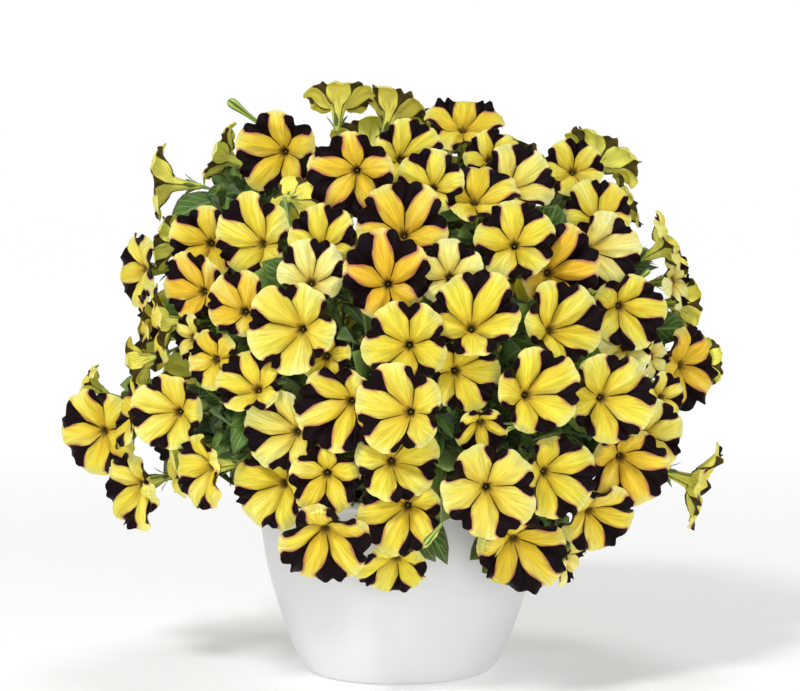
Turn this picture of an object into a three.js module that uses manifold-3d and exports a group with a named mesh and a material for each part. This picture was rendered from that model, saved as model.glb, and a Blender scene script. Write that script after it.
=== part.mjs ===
// A petunia in full bloom in its round pot. Millimetres, +Z up, origin at the centre of the pot's underside.
// The front looks along -Y. Its blooms are placed from a front view, and the back is filled by a rule.
// Each spray is one closed body: a stem in its own hole in the soil, with its blooms, leaves and buds.
import * as THREE from "three";
import { mergeVertices } from "three/addons/utils/BufferGeometryUtils.js";
import Module from "manifold-3d";

const wasm = await Module();
wasm.setup();

// Driving dimensions.
const POT_HEIGHT = 134;
const POT_SIDES = 30;
const POT_WALL = 2.6;
// Outer wall of the pot, radius and height, from the edge of the base to under the rim.
const POT_OUTSIDE = [
  [61, 0],
  [66.5, 2.2],
  [71.6, 8],
  [79.4, 24],
  [88.4, 50],
  [95.6, 76],
  [99.8, 104],
  [101.2, 127],
];
const INSIDE_LEVELS = [8, 50, 104];
const RIM_RADIUS = 104;
const RIM_DEPTH = 6;
const DRAIN_HOLES = 4;
const DRAIN_RADIUS = 4;
const DRAIN_CIRCLE = 42;
const DRAIN_SIDES = 6;
const FLOOR_THICKNESS = 3;

const SOIL_TOP = 119;
const SOIL_MOUND = 3;
const SOIL_SLOPE = 8; // width of the slope round the edge of the soil
const GAP = 0.3;
const HOLE_DEPTH = 16;
const HOLE_SIDES = 5;

const SPRAYS = 44;
const STEM_RADIUS = 2.6;
const STEM_TIP_RADIUS = 2;
const STALK_RADIUS = 1.3;
const STALK_SIDES = 3;
const STALK_FOOT = 0.6; // of the stalk's radius, inside the stem
const ROOT_CIRCLE = 84;
const ROOT_SPACING = 10;
const STEM_SHORT = 14; // from the middle of a spray's tubes back to the end of its stem

// Ways round other pieces that a stem or a stalk tries in turn: sideways bends, and shares of the stem.
const STEM_BENDS = [10, 20, 32];
const STALK_BENDS = [8, 16, 26, 38, 54];
const STALK_END_BENDS = [7, 15];
const STALK_SHARES = [0.92, 0.8, 0.65, 0.5, 0.35];
const STALK_LAST_SHARE = 0.9;
const BUD_BENDS = [8, 18];
const BEND_WAYS = 8;

const TUBE_LENGTH = 0.8; // of the bloom's radius, from the throat back to the calyx
const FUNNEL_DEPTH = 0.3; // of the bloom's radius, from the rim down to the throat
const THROAT_RADIUS = 5;
const CALYX_RADIUS = 2.3;
const PETAL_THICKNESS = 1.8; // at the throat, thinning out to the rim
const LOBES = 5;
// Outline of one lobe: share of the way round it, and radius. The first row is the notch.
const FINE_LOBE = [[0, 0.85], [0.22, 0.99], [0.5, 1.03], [0.78, 0.99]];
const PLAIN_LOBE = [[0, 0.85], [0.28, 1.01], [0.72, 1.01]];
const CLEARANCE = 0.35;

// The mound of blooms: a round dome, flatter below its widest level.
const DOME = { radius: 205, middle: 190, up: 216, down: 136, powerUp: 2.1, powerDown: 2.6 };
const DOME_STEP = 1; // along a ray, between tests of whether it has met the dome

// The back: points spread evenly over the dome, kept where the front view doesn't reach.
const BACK_POINTS = 150;
const BACK_WIDEST = 122; // degrees from the top down to the lowest point
const BACK_SPACING = 48;
const BACK_RADII = [28, 34];
const BACK_DEPTHS = [4, 14];
const BACK_PUSHES = 12;
const BACK_JITTER = 0.5;
const BACK_LOW = 150; // the back stays above this outside the pot's width
// Points at the sides, between the back and what the front view shows: cosines of the angle to the view.
const SIDE_FROM = -0.04;
const SIDE_TO = 0.42;
const SIDE_DEPTH = 16; // behind the blooms of the front
const SIDE_SPACING = 36;

// The front view that the blooms are placed in: steps across and down from its top left corner.
const VIEW = { step: 0.72, across: 400, down: 345.5, distance: 2000, pitch: 4, aim: 235 };

// Each layer of blooms starts this much deeper. A bloom that meets another goes deeper or aside in steps.
const LAYER_STEP = 5;
const PUSH_STEP = 3;
const PUSHES = 20;
const SHIFTS = [6, 12, 18];
const SHIFT_COST = 0.7;

// Blooms of the front: centre across and down, radius (steps), turn and lift of the face (degrees, 0 0 looks
// out of the view), clockwise angle of the first seam, layer (0 in front), throat across and down (0 0 unseen).
const FRONT_BLOOMS = [
  [490, 492, 48, 3, 0, 9, 0, 487, 488],
  [397, 408, 45, -10, 0, 29, 0, 409, 412],
  [405, 343, 43, 0, 0, 6, 0, 409, 345],
  [290, 328, 46, -10, 0, 66, 0, 301, 329],
  [325, 548, 46, 0, -30, 24, 0, 325, 524],
  [540, 391, 43, 15, 0, 22, 0, 527, 395],
  [612, 398, 46, 15, 0, 8, 0, 602, 398],
  [350, 175, 43, -5, 0, 37, 0, 356, 170],
  [275, 153, 42, -15, 0, 39, 0, 284, 151],
  [165, 413, 38, -15, 0, 48, 0, 178, 412],
  [475, 312, 45, 0, 20, 0, 0, 472, 327],
  [386, 274, 44, 0, 0, 24, 1, 388, 283],
  [337, 410, 43, -15, 0, 0, 1, 350, 402],
  [398, 462, 42, 0, -5, 30, 1, 392, 462],
  [400, 515, 42, -5, -5, 20, 1, 407, 507],
  [392, 572, 36, 0, -45, 20, 1, 400, 552],
  [560, 478, 42, 20, 0, 20, 1, 545, 472],
  [630, 470, 42, 8, -10, 45, 1, 619, 455],
  [565, 322, 43, 25, 10, 12, 1, 546, 333],
  [515, 240, 40, 0, 12, 28, 1, 515, 245],
  [605, 252, 40, 20, 0, 40, 1, 590, 250],
  [480, 193, 40, 0, 45, 36, 1, 475, 203],
  [573, 167, 32, 0, 30, 10, 1, 573, 172],
  [430, 175, 34, -5, 10, 50, 1, 433, 182],
  [312, 270, 34, 0, 20, 15, 1, 311, 286],
  [250, 235, 42, -30, 0, 30, 1, 262, 243],
  [192, 285, 34, -25, 0, 12, 1, 203, 291],
  [238, 303, 33, -10, 0, 60, 1, 245, 312],
  [248, 380, 34, -15, 25, 20, 1, 262, 393],
  [198, 473, 38, -55, 0, 30, 1, 213, 465],
  [130, 492, 40, -50, -10, 55, 1, 143, 484],
  [95, 432, 44, -30, -5, 10, 1, 104, 431],
  [155, 325, 40, -80, -5, 40, 1, 0, 0],
  [705, 487, 45, 80, -20, 25, 1, 0, 0],
  [688, 368, 42, 45, 0, 15, 1, 680, 365],
  [672, 243, 36, 80, 30, 50, 1, 0, 0],
  [465, 368, 38, 10, 0, 50, 2, 456, 365],
  [275, 432, 40, -20, 0, 42, 2, 291, 432],
  [325, 480, 36, 0, -5, 38, 2, 327, 474],
  [523, 555, 46, 5, -25, 25, 2, 513, 538],
  [605, 517, 38, 25, -25, 60, 2, 592, 506],
  [655, 435, 35, 25, -5, 40, 2, 645, 435],
  [548, 266, 42, 12, 0, 57, 2, 537, 272],
  [630, 312, 38, 15, 0, 50, 2, 620, 306],
  [598, 210, 34, 0, 25, 5, 2, 598, 221],
  [520, 177, 38, 20, 25, 15, 2, 509, 190],
  [410, 150, 34, 12, 15, 23, 2, 401, 159],
  [402, 222, 45, 0, 20, 5, 2, 404, 234],
  [339, 96, 36, 175, 64, 30, 2, 0, 0],
  [396, 105, 36, 135, 60, 10, 2, 0, 0],
  [465, 122, 40, 5, 50, 40, 2, 463, 131],
  [322, 235, 34, 0, 20, 20, 2, 322, 247],
  [217, 153, 34, -95, 25, 50, 2, 0, 0],
  [605, 152, 42, 125, 50, 10, 2, 0, 0],
  [158, 183, 38, -92, 5, 20, 2, 0, 0],
  [203, 243, 36, -10, 0, 43, 2, 210, 243],
  [136, 270, 38, -60, 0, 10, 2, 0, 0],
  [450, 272, 34, 0, 10, 35, 2, 450, 277],
  [478, 428, 27, 10, -30, 60, 2, 476, 418],
  [325, 356, 26, -10, 5, 45, 3, 0, 0],
  [115, 410, 40, -75, 15, 30, 3, 0, 0],
  [682, 278, 28, 60, 10, 5, 2, 676, 276],
  [665, 398, 26, 35, 0, 25, 2, 660, 398],
  [268, 490, 42, -35, -5, 42, 3, 288, 481],
  [572, 560, 28, 65, -20, 5, 3, 0, 0],
  [712, 362, 24, 110, 0, 40, 6, 0, 0],
  [687, 305, 28, 115, -5, 55, 2, 0, 0],
  [655, 355, 24, 50, 10, 30, 4, 0, 0],
  [625, 347, 28, 0, 0, 20, 3, 625, 347],
  [628, 200, 30, 95, 25, 35, 3, 0, 0],
  [492, 155, 28, -10, 30, 10, 3, 490, 160],
  [297, 203, 28, 160, -10, 60, 3, 0, 0],
  [165, 242, 28, -110, 10, 15, 3, 0, 0],
  [143, 322, 28, -85, 0, 5, 3, 0, 0],
  [135, 365, 28, -100, -20, 45, 3, 0, 0],
  [86, 382, 22, -80, 30, 20, 3, 0, 0],
  [212, 360, 30, -30, 0, 10, 3, 0, 0],
  [188, 338, 24, -55, 0, 50, 3, 0, 0],
];

// Buds of the front: tip across and down, then base across and down.
const FRONT_BUDS = [
  [228, 100, 258, 122],
  [424, 545, 442, 524],
  [500, 432, 522, 424],
  [650, 270, 634, 284],
  [540, 155, 552, 172],
  [668, 456, 640, 450],
];

// Leaves that show between the blooms of the front: across and down of the tip.
const FRONT_LEAVES = [
  [205, 362], [222, 345], [196, 385], [230, 402], [206, 420], [238, 440], [222, 470], [210, 486], [232, 494],
  [245, 478], [470, 215], [452, 235], [486, 256], [498, 285], [448, 300], [348, 330], [352, 352], [342, 372],
  [440, 425], [436, 455], [446, 480], [434, 500], [560, 200], [548, 215], [262, 262], [272, 250], [176, 190],
  [205, 205], [228, 190], [448, 552], [470, 560], [430, 560], [484, 575], [642, 512], [318, 500], [350, 498],
  [588, 440], [522, 350], [500, 345], [290, 385], [410, 205], [655, 250], [620, 225], [160, 300], [186, 312],
  [250, 275], [648, 290], [170, 222], [120, 385], [150, 445], [690, 330], [596, 345], [300, 455], [455, 330],
];

const LEAF = { length: [24, 44], width: 0.46, foot: 0.6, thickness: 0.9, droop: 0.2, fold: 0.1 };
const LEAVES_PER_SPRAY = 1;
const LEAF_TRIES = 26;
const LEAF_OUTSIDE = 1.08; // of the dome, as far out as a leaf may end
// A leaf of the front tries these depths under the dome, and feet at these distances from its tip.
const LEAF_DEPTHS = [2, 10, 18, 28, 40, 54];
const LEAF_REACH = [14, 52];
const LEAF_FEET = [0.45, 0.6, 0.7, 0.8, 0.9, 0.98];
// Along a bud, radius, both in shares of its length.
const BUD = [[0, 0.05], [0.3, 0.13], [0.75, 0.14], [1, 0.05]];
const BUD_SIDES = 4;
const BUD_DEPTHS = [0, 8, 16, 26];
const BUD_LEAN = 6; // the tip is this much nearer to the view than the base

const SEEDS = { back: 7, frontLeaves: 31, leaves: 53, backBlooms: 200 };

// Small helpers.
const rad = THREE.MathUtils.degToRad;
const vec = (x, y, z) => new THREE.Vector3(x, y, z);
const UP = vec(0, 0, 1);

// Draws between 0 and 1, the same in every run.
function draws(seed) {
  let state = seed >>> 0;
  return () => {
    state = (Math.imul(state, 1664525) + 1013904223) >>> 0;
    return state / 4294967296;
  };
}

const mix = (a, b, share) => a + (b - a) * share;

function mixed(a, b, share) {
  return a.clone().lerp(b, share);
}

function anyAcross(direction) {
  const helper = Math.abs(direction.z) < 0.9 ? UP : vec(1, 0, 0);
  return helper.clone().cross(direction).normalize();
}

// Solids.
function solidOf(points, faces) {
  const vertProperties = new Float32Array(points.flatMap((p) => [p.x, p.y, p.z]));
  const triVerts = new Uint32Array(faces.flat());
  return new wasm.Manifold(new wasm.Mesh({ numProp: 3, vertProperties, triVerts }));
}

function solidOfGeometry(geometry) {
  const bare = geometry.clone();
  bare.deleteAttribute("normal");
  bare.deleteAttribute("uv");
  const merged = mergeVertices(bare, 1e-4);
  const index = merged.index.array;
  const faces = [];
  for (let i = 0; i < index.length; i += 3) {
    const [a, b, c] = [index[i], index[i + 1], index[i + 2]];
    if (a !== b && b !== c && a !== c) faces.push(a, b, c);
  }
  const vertProperties = new Float32Array(merged.attributes.position.array);
  const triVerts = new Uint32Array(faces);
  return new wasm.Manifold(new wasm.Mesh({ numProp: 3, vertProperties, triVerts }));
}

function geometryOf(solid) {
  const mesh = solid.getMesh();
  const positions = new Float32Array(mesh.numVert * 3);
  for (let i = 0; i < mesh.numVert; i += 1) {
    for (let k = 0; k < 3; k += 1) positions[i * 3 + k] = mesh.vertProperties[i * mesh.numProp + k];
  }
  const geometry = new THREE.BufferGeometry();
  geometry.setAttribute("position", new THREE.BufferAttribute(positions, 3));
  geometry.setIndex(new THREE.BufferAttribute(new Uint32Array(mesh.triVerts), 1));
  geometry.computeVertexNormals();
  return geometry;
}

// A piece keeps its solid with the box round it, so that far pieces are passed over quickly.
function piece(solid, spray = -1) {
  const box = solid.boundingBox();
  return { solid, spray, min: box.min, max: box.max };
}

function boxesMeet(a, b) {
  return [0, 1, 2].every((k) => a.min[k] <= b.max[k] && b.min[k] <= a.max[k]);
}

function crosses(a, b) {
  if (!boxesMeet(a, b)) return false;
  const common = a.solid.intersect(b.solid);
  const meets = !common.isEmpty();
  common.delete();
  return meets;
}

const crossesAny = (probe, others) => others.some((other) => crosses(probe, other));

// A round rod through the points with a radius at each, closed at both ends.
function rod(path, radii, sides) {
  const points = [];
  const faces = [];
  let across = anyAcross(path[1].clone().sub(path[0]).normalize());
  path.forEach((centre, i) => {
    const before = path[Math.max(i - 1, 0)];
    const after = path[Math.min(i + 1, path.length - 1)];
    const along = after.clone().sub(before).normalize();
    across = across.clone().sub(along.clone().multiplyScalar(across.dot(along))).normalize();
    const side = along.clone().cross(across);
    for (let k = 0; k < sides; k += 1) {
      const angle = (k / sides) * 2 * Math.PI;
      points.push(
        centre
          .clone()
          .addScaledVector(across, Math.cos(angle) * radii[i])
          .addScaledVector(side, Math.sin(angle) * radii[i]),
      );
    }
  });
  for (let i = 0; i + 1 < path.length; i += 1) {
    for (let k = 0; k < sides; k += 1) {
      const next = (k + 1) % sides;
      const [low, high] = [i * sides, (i + 1) * sides];
      faces.push([low + k, low + next, high + next], [low + k, high + next, high + k]);
    }
  }
  const end = (path.length - 1) * sides;
  for (let k = 1; k + 1 < sides; k += 1) {
    faces.push([0, k + 1, k], [end, end + k, end + k + 1]);
  }
  return { points, faces };
}

// Front view.
const pitch = rad(VIEW.pitch);
const LOOK = vec(0, Math.cos(pitch), -Math.sin(pitch));
const RIGHT = vec(1, 0, 0);
const LEVEL_UP = vec(0, Math.sin(pitch), Math.cos(pitch));
const EYE = vec(0, 0, VIEW.aim).addScaledVector(LOOK, -VIEW.distance);
const FOCAL = VIEW.distance / VIEW.step;

function viewRay(across, down) {
  return LOOK.clone()
    .addScaledVector(RIGHT, (across - VIEW.across) / FOCAL)
    .addScaledVector(LEVEL_UP, -(down - VIEW.down) / FOCAL);
}

function domeLevel(point) {
  const rise = point.z - DOME.middle;
  const reach = rise > 0 ? DOME.up : DOME.down;
  const power = rise > 0 ? DOME.powerUp : DOME.powerDown;
  const across = Math.hypot(point.x, point.y) / DOME.radius;
  return Math.pow(Math.pow(across, power) + Math.pow(Math.abs(rise) / reach, power), 1 / power);
}

// How far along its ray a point of the view meets the dome, or passes nearest to it.
function depthOfDome(ray) {
  let best = VIEW.distance;
  let least = Infinity;
  for (let depth = VIEW.distance - 260; depth <= VIEW.distance + 60; depth += DOME_STEP) {
    const level = domeLevel(EYE.clone().addScaledVector(ray, depth));
    if (level <= 1) return depth;
    if (level < least) {
      least = level;
      best = depth;
    }
  }
  return best;
}

function facing(turn, lift) {
  const level = Math.cos(rad(lift));
  return vec(Math.sin(rad(turn)) * level, -Math.cos(rad(turn)) * level, Math.sin(rad(lift)));
}

// Bloom.
// A bloom's own frame: z out of its face, x towards the top of its face.
function bloomFrame(centre, axis, upwards) {
  const top = upwards.clone().addScaledVector(axis, -upwards.dot(axis)).normalize();
  const side = axis.clone().cross(top);
  return new THREE.Matrix4().makeBasis(top, side, axis).setPosition(centre);
}

// Triangles between two rings that go the same way round, with any number of points each.
function stitch(low, high) {
  const faces = [];
  let [i, k] = [0, 0];
  while (i < low.length || k < high.length) {
    const [a, b] = [low[i % low.length], high[k % high.length]];
    if (k < high.length && (k + 1) / high.length <= (i + 1) / low.length + 1e-9) {
      k += 1;
      faces.push([a, b, high[k % high.length]]);
    } else {
      i += 1;
      faces.push([a, b, low[i % low.length]]);
    }
  }
  return faces;
}

// The bloom with its tube, and with its stalk where a path is given, whose last point is the tube's foot.
function bloomSolid(bloom, grow = 0, path = null) {
  const { radius, seam, lean, lobe, seed } = bloom;
  const draw = draws(seed);
  const points = [];
  const add = (x, y, z) => points.push(vec(x, y, z)) - 1;
  const depth = FUNNEL_DEPTH * radius;
  const tube = TUBE_LENGTH * radius;
  const ring = (size, z, count) =>
    [...Array(count).keys()].map((i) => {
      const angle = -rad(seam) - (i * 2 * Math.PI) / count;
      return add(lean.x + Math.cos(angle) * size, lean.y + Math.sin(angle) * size, z);
    });
  const base = ring(CALYX_RADIUS + grow, -depth - tube - grow, STALK_SIDES);
  const throat = ring(THROAT_RADIUS + 1 + grow, -depth - grow, LOBES);
  const plain = lobe.length < FINE_LOBE.length;
  const inner = plain ? [] : ring(THROAT_RADIUS, -depth + PETAL_THICKNESS + grow, LOBES);
  const heart = add(lean.x, lean.y, plain ? -0.75 * depth + grow : -depth - 0.3 * tube);
  const rim = [];
  const wave = [];
  for (let i = 0; i < LOBES; i += 1) {
    for (const [share, size] of lobe) {
      const angle = -rad(seam) - ((i + share) * 2 * Math.PI) / LOBES;
      const reach = radius * size * mix(0.96, 1.04, draw()) + grow;
      const curl = share === 0 ? 0.04 * radius : -0.05 * radius;
      const z = curl + mix(-0.05, 0.05, draw()) * radius;
      wave.push([angle, reach, z]);
      rim.push(add(Math.cos(angle) * reach, Math.sin(angle) * reach, z - grow));
    }
  }
  const raised = ([angle, reach, z]) => add(Math.cos(angle) * reach, Math.sin(angle) * reach, z + grow);
  const upper = grow > 0 ? wave.map(raised) : rim;
  const faces = [];
  const count = lobe.length;
  const half = Math.ceil(count / 2);
  const sheet = (foot, edge, flip) => {
    const put = (a, b, c) => faces.push(flip ? [a, c, b] : [a, b, c]);
    for (let i = 0; i < LOBES; i += 1) {
      const next = (i + 1) % LOBES;
      for (let k = 0; k < count; k += 1) {
        const from = edge[i * count + k];
        const to = edge[(i * count + k + 1) % (LOBES * count)];
        if (k === half) put(foot[i], from, foot[next]);
        put(k < half ? foot[i] : foot[next], from, to);
      }
    }
  };
  sheet(throat, rim, false);
  if (plain) upper.forEach((from, k) => faces.push([heart, upper[(k + 1) % upper.length], from]));
  else sheet(inner, upper, true);
  inner.forEach((from, i) => faces.push([from, heart, inner[(i + 1) % LOBES]]));
  faces.push(...stitch(base, throat));
  if (grow > 0) {
    rim.forEach((from, k) => {
      const next = (k + 1) % rim.length;
      faces.push([from, upper[k], upper[next]], [from, upper[next], rim[next]]);
    });
  }
  points.forEach((p) => p.applyMatrix4(bloom.frame));
  let last = base;
  if (path) {
    const across = vec(Math.cos(rad(seam)), -Math.sin(rad(seam)), 0).transformDirection(bloom.frame);
    for (const circle of stalkRings(path, across)) {
      const low = circle.map((point) => points.push(point) - 1);
      faces.push(...stitch(low, last));
      last = low;
    }
  }
  for (let i = 1; i + 1 < last.length; i += 1) faces.push([last[0], last[i], last[i + 1]]);
  return solidOf(points, faces);
}

// Points round each point of a stalk's path, listed from the tube of the bloom down to the stem.
function stalkRings(path, across) {
  let side = across.clone();
  const rings = [];
  for (let at = path.length - 2; at >= 0; at -= 1) {
    const along = path[at + 1].clone().sub(path[Math.max(at - 1, 0)]).normalize();
    side = side.clone().addScaledVector(along, -side.dot(along)).normalize();
    const other = along.clone().cross(side);
    const size = at === 0 ? STALK_FOOT * STALK_RADIUS : STALK_RADIUS;
    const circle = [];
    for (let k = 0; k < STALK_SIDES; k += 1) {
      const angle = (-k * 2 * Math.PI) / STALK_SIDES;
      const point = path[at].clone().addScaledVector(side, Math.cos(angle) * size);
      circle.push(point.addScaledVector(other, Math.sin(angle) * size));
    }
    rings.push(circle);
  }
  return rings;
}

function placedBloom(centre, axis, upwards, radius, seam, lobe, seed, lean = { x: 0, y: 0 }) {
  const frame = bloomFrame(centre, axis, upwards);
  const back = -(FUNNEL_DEPTH + TUBE_LENGTH) * radius;
  const base = vec(lean.x, lean.y, back).applyMatrix4(frame);
  return { frame, centre, axis, radius, seam, lobe, seed, lean, base };
}

// The throat's shift in the bloom's plane that puts it where the view shows it.
function throatLean(axis, upwards, radius, across, down) {
  const depth = FUNNEL_DEPTH * radius;
  const right = across * VIEW.step + axis.dot(RIGHT) * depth;
  const up = -down * VIEW.step + axis.dot(LEVEL_UP) * depth;
  const towards = axis.dot(LOOK);
  if (Math.abs(towards) < 0.5) return { x: 0, y: 0 };
  const along = -(right * axis.dot(RIGHT) + up * axis.dot(LEVEL_UP)) / towards;
  const shift = vec(0, 0, 0)
    .addScaledVector(RIGHT, right)
    .addScaledVector(LEVEL_UP, up)
    .addScaledVector(LOOK, along)
    .clampLength(0, 0.32 * radius);
  const top = upwards.clone().addScaledVector(axis, -upwards.dot(axis)).normalize();
  return { x: shift.dot(top), y: shift.dot(axis.clone().cross(top)) };
}

// Pot and soil.
function turned(profile) {
  const points = profile.map(([radius, height]) => new THREE.Vector2(radius, height));
  const geometry = new THREE.LatheGeometry(points, POT_SIDES);
  geometry.rotateX(Math.PI / 2);
  return solidOfGeometry(geometry);
}

// Inside of the wall, from the edge of the floor up, and this far in from it.
function insideWall(gap) {
  const levels = POT_OUTSIDE.filter(([, z]) => INSIDE_LEVELS.includes(z));
  const wall = levels.map(([radius, z]) => [radius - POT_WALL - gap, z]);
  return [[wall[0][0] - 4, FLOOR_THICKNESS + gap], ...wall];
}

function potSolid() {
  const inside = insideWall(0).reverse();
  let pot = turned([
    [0, 0],
    ...POT_OUTSIDE,
    [RIM_RADIUS, POT_HEIGHT - RIM_DEPTH],
    [RIM_RADIUS, POT_HEIGHT - 1],
    [RIM_RADIUS - 1, POT_HEIGHT],
    [RIM_RADIUS - 1 - POT_WALL, POT_HEIGHT],
    ...inside,
    [0, FLOOR_THICKNESS],
  ]);
  for (let i = 0; i < DRAIN_HOLES; i += 1) {
    const angle = (i / DRAIN_HOLES) * 2 * Math.PI;
    const [x, y] = [Math.cos(angle) * DRAIN_CIRCLE, Math.sin(angle) * DRAIN_CIRCLE];
    const path = [vec(x, y, -2), vec(x, y, FLOOR_THICKNESS + 2)];
    const hole = rod(path, [DRAIN_RADIUS, DRAIN_RADIUS], DRAIN_SIDES);
    pot = pot.subtract(solidOf(hole.points, hole.faces));
  }
  return pot;
}

function soilSolid(roots) {
  const inside = insideWall(GAP);
  const edge = inside.at(-1)[0];
  let soil = turned([
    [0, FLOOR_THICKNESS + GAP],
    ...inside,
    [edge, SOIL_TOP - SOIL_MOUND],
    [edge - SOIL_SLOPE, SOIL_TOP],
    [0, SOIL_TOP],
  ]);
  const size = (STEM_RADIUS + GAP) / Math.cos(Math.PI / HOLE_SIDES) + 0.05;
  for (const root of roots) {
    const path = [vec(root.x, root.y, SOIL_TOP - HOLE_DEPTH - GAP), vec(root.x, root.y, SOIL_TOP + 5)];
    const hole = rod(path, [size, size], HOLE_SIDES);
    soil = soil.subtract(solidOf(hole.points, hole.faces));
  }
  return soil;
}

// Where the blooms sit.
// Where a bloom doesn't fit clear of the others it goes a little deeper, or to one side.
function tries() {
  const list = [];
  for (let push = 0; push < PUSHES; push += 1) {
    list.push({ across: 0, down: 0, push, cost: push });
    for (const shift of SHIFTS) {
      for (let k = 0; k < BEND_WAYS; k += 1) {
        const angle = (k / BEND_WAYS) * 2 * Math.PI;
        const [across, down] = [Math.cos(angle) * shift, Math.sin(angle) * shift];
        list.push({ across, down, push, cost: push + shift * SHIFT_COST });
      }
    }
  }
  return list.sort((a, b) => a.cost - b.cost);
}

const TRIES = tries();

function keep(blooms, bloom) {
  const solid = bloomSolid(bloom);
  blooms.push({ ...bloom, ...piece(solid) });
}

function placeFront(blooms, obstacles) {
  const [layerAt, seedAt] = [6, 9];
  const order = FRONT_BLOOMS.map((row, i) => [...row, i + 1]);
  order.sort((a, b) => a[layerAt] - b[layerAt] || a[seedAt] - b[seedAt]);
  for (const [across, down, size, turn, lift, seam, layer, throatX, throatY, seed] of order) {
    const axis = facing(turn, lift);
    const upwards = lift > 70 ? LOOK : LEVEL_UP;
    TRIES.find((attempt) => {
      const ray = viewRay(across + attempt.across, down + attempt.down);
      const depth = depthOfDome(ray) + layer * LAYER_STEP + attempt.push * PUSH_STEP;
      const radius = (size * VIEW.step * depth) / VIEW.distance;
      const lean = throatX
        ? throatLean(axis, upwards, radius, throatX - across, throatY - down)
        : { x: 0, y: 0 };
      const centre = EYE.clone().addScaledVector(ray, depth);
      const lobe = layer < 2 ? FINE_LOBE : PLAIN_LOBE;
      const bloom = placedBloom(centre, axis, upwards, radius, seam, lobe, seed, lean);
      const probe = piece(bloomSolid(bloom, CLEARANCE));
      const clear = !crossesAny(probe, [...obstacles, ...blooms]);
      probe.solid.delete();
      if (clear) keep(blooms, bloom);
      return clear;
    });
  }
}

// The point of the dome in a direction from its middle, and the dome's slope there.
function domePoint(direction) {
  let reach = 60;
  const middle = vec(0, 0, DOME.middle - 20);
  while (domeLevel(middle.clone().addScaledVector(direction, reach)) < 1) reach += 0.5;
  return middle.addScaledVector(direction, reach);
}

function domeNormal(point) {
  const level = (x, y, z) => domeLevel(vec(point.x + x, point.y + y, point.z + z));
  const alongX = level(1, 0, 0) - level(-1, 0, 0);
  const alongY = level(0, 1, 0) - level(0, -1, 0);
  const alongZ = level(0, 0, 1) - level(0, 0, -1);
  return vec(alongX, alongY, alongZ).normalize();
}

const GOLDEN = Math.PI * (3 - Math.sqrt(5));

function placeBack(blooms, obstacles) {
  const draw = draws(SEEDS.back);
  const lowest = Math.cos(rad(BACK_WIDEST));
  for (let i = 0; i < BACK_POINTS; i += 1) {
    const height = mix(1, lowest, (i + 0.5) / BACK_POINTS);
    const round = Math.sqrt(1 - height * height);
    const direction = vec(Math.cos(i * GOLDEN) * round, Math.sin(i * GOLDEN) * round, height);
    const point = domePoint(direction);
    const normal = domeNormal(point);
    const jitter = vec(draw() - 0.5, draw() - 0.5, draw() - 0.3).multiplyScalar(BACK_JITTER);
    const seam = (draw() * 360) / LOBES;
    const radius = mix(...BACK_RADII, draw());
    const under = mix(...BACK_DEPTHS, draw());
    const towards = normal.dot(EYE.clone().sub(point).normalize());
    const side = towards > SIDE_FROM;
    if (towards > SIDE_TO || (side && point.z < BACK_LOW)) continue;
    if (point.z < BACK_LOW && Math.abs(point.x) > POT_OUTSIDE.at(-1)[0]) continue;
    const spacing = side ? SIDE_SPACING : BACK_SPACING;
    if (blooms.some((other) => other.centre.distanceTo(point) < spacing)) continue;
    const axis = normal.clone().add(jitter).normalize();
    const upwards = Math.abs(axis.z) > 0.9 ? LOOK : UP;
    for (let push = 0; push < BACK_PUSHES; push += 1) {
      const deep = under + (side ? SIDE_DEPTH : 0) + push * PUSH_STEP;
      const centre = point.clone().addScaledVector(normal, -deep);
      const bloom = placedBloom(centre, axis, upwards, radius, seam, PLAIN_LOBE, SEEDS.backBlooms + i);
      const probe = piece(bloomSolid(bloom, CLEARANCE));
      const clear = !crossesAny(probe, [...obstacles, ...blooms]);
      probe.solid.delete();
      if (clear) {
        keep(blooms, bloom);
        break;
      }
    }
  }
}

// Sprays and their stems.
const HUB = vec(0, 0, 135);

// Blooms whose tubes point the same way from the hub share a spray.
function groups(blooms) {
  const ways = blooms.map((bloom) => bloom.base.clone().sub(HUB).normalize());
  let middles = [...Array(SPRAYS).keys()].map((i) => {
    const height = mix(1, Math.cos(rad(115)), (i + 0.5) / SPRAYS);
    const round = Math.sqrt(1 - height * height);
    return vec(Math.cos(i * GOLDEN) * round, Math.sin(i * GOLDEN) * round, height);
  });
  let owner = [];
  for (let pass = 0; pass < 14; pass += 1) {
    owner = ways.map((way) => {
      const near = middles.map((middle) => middle.dot(way));
      return near.indexOf(Math.max(...near));
    });
    middles = middles.map((middle, i) => {
      const sum = vec(0, 0, 0);
      ways.forEach((way, k) => owner[k] === i && sum.add(way));
      return sum.length() > 0 ? sum.normalize() : middle;
    });
  }
  return middles
    .map((way, i) => ({ way, blooms: blooms.filter((bloom, k) => owner[k] === i) }))
    .filter((group) => group.blooms.length > 0);
}

// Roots spread over the soil in the same order as the sprays spread over the mound.
function rootsOf(sprays) {
  const widest = Math.cos(rad(118));
  const roots = sprays.map(({ blooms }) => {
    const middle = blooms.reduce((sum, bloom) => sum.add(bloom.base), vec(0, 0, 0));
    const way = middle.divideScalar(blooms.length).sub(HUB).normalize();
    const share = Math.min(1, (1 - way.z) / (1 - widest));
    const angle = Math.atan2(way.y, way.x);
    return vec(Math.cos(angle), Math.sin(angle), 0).multiplyScalar(ROOT_CIRCLE * Math.sqrt(share));
  });
  for (let pass = 0; pass < 60; pass += 1) {
    for (let i = 0; i < roots.length; i += 1) {
      for (let k = 0; k < i; k += 1) {
        const apart = roots[i].clone().sub(roots[k]);
        const lack = ROOT_SPACING - apart.length();
        if (lack <= 0) continue;
        apart.normalize().multiplyScalar(lack / 2);
        roots[i].add(apart);
        roots[k].sub(apart);
      }
      roots[i].clampLength(0, ROOT_CIRCLE);
    }
  }
  return roots;
}

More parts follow.
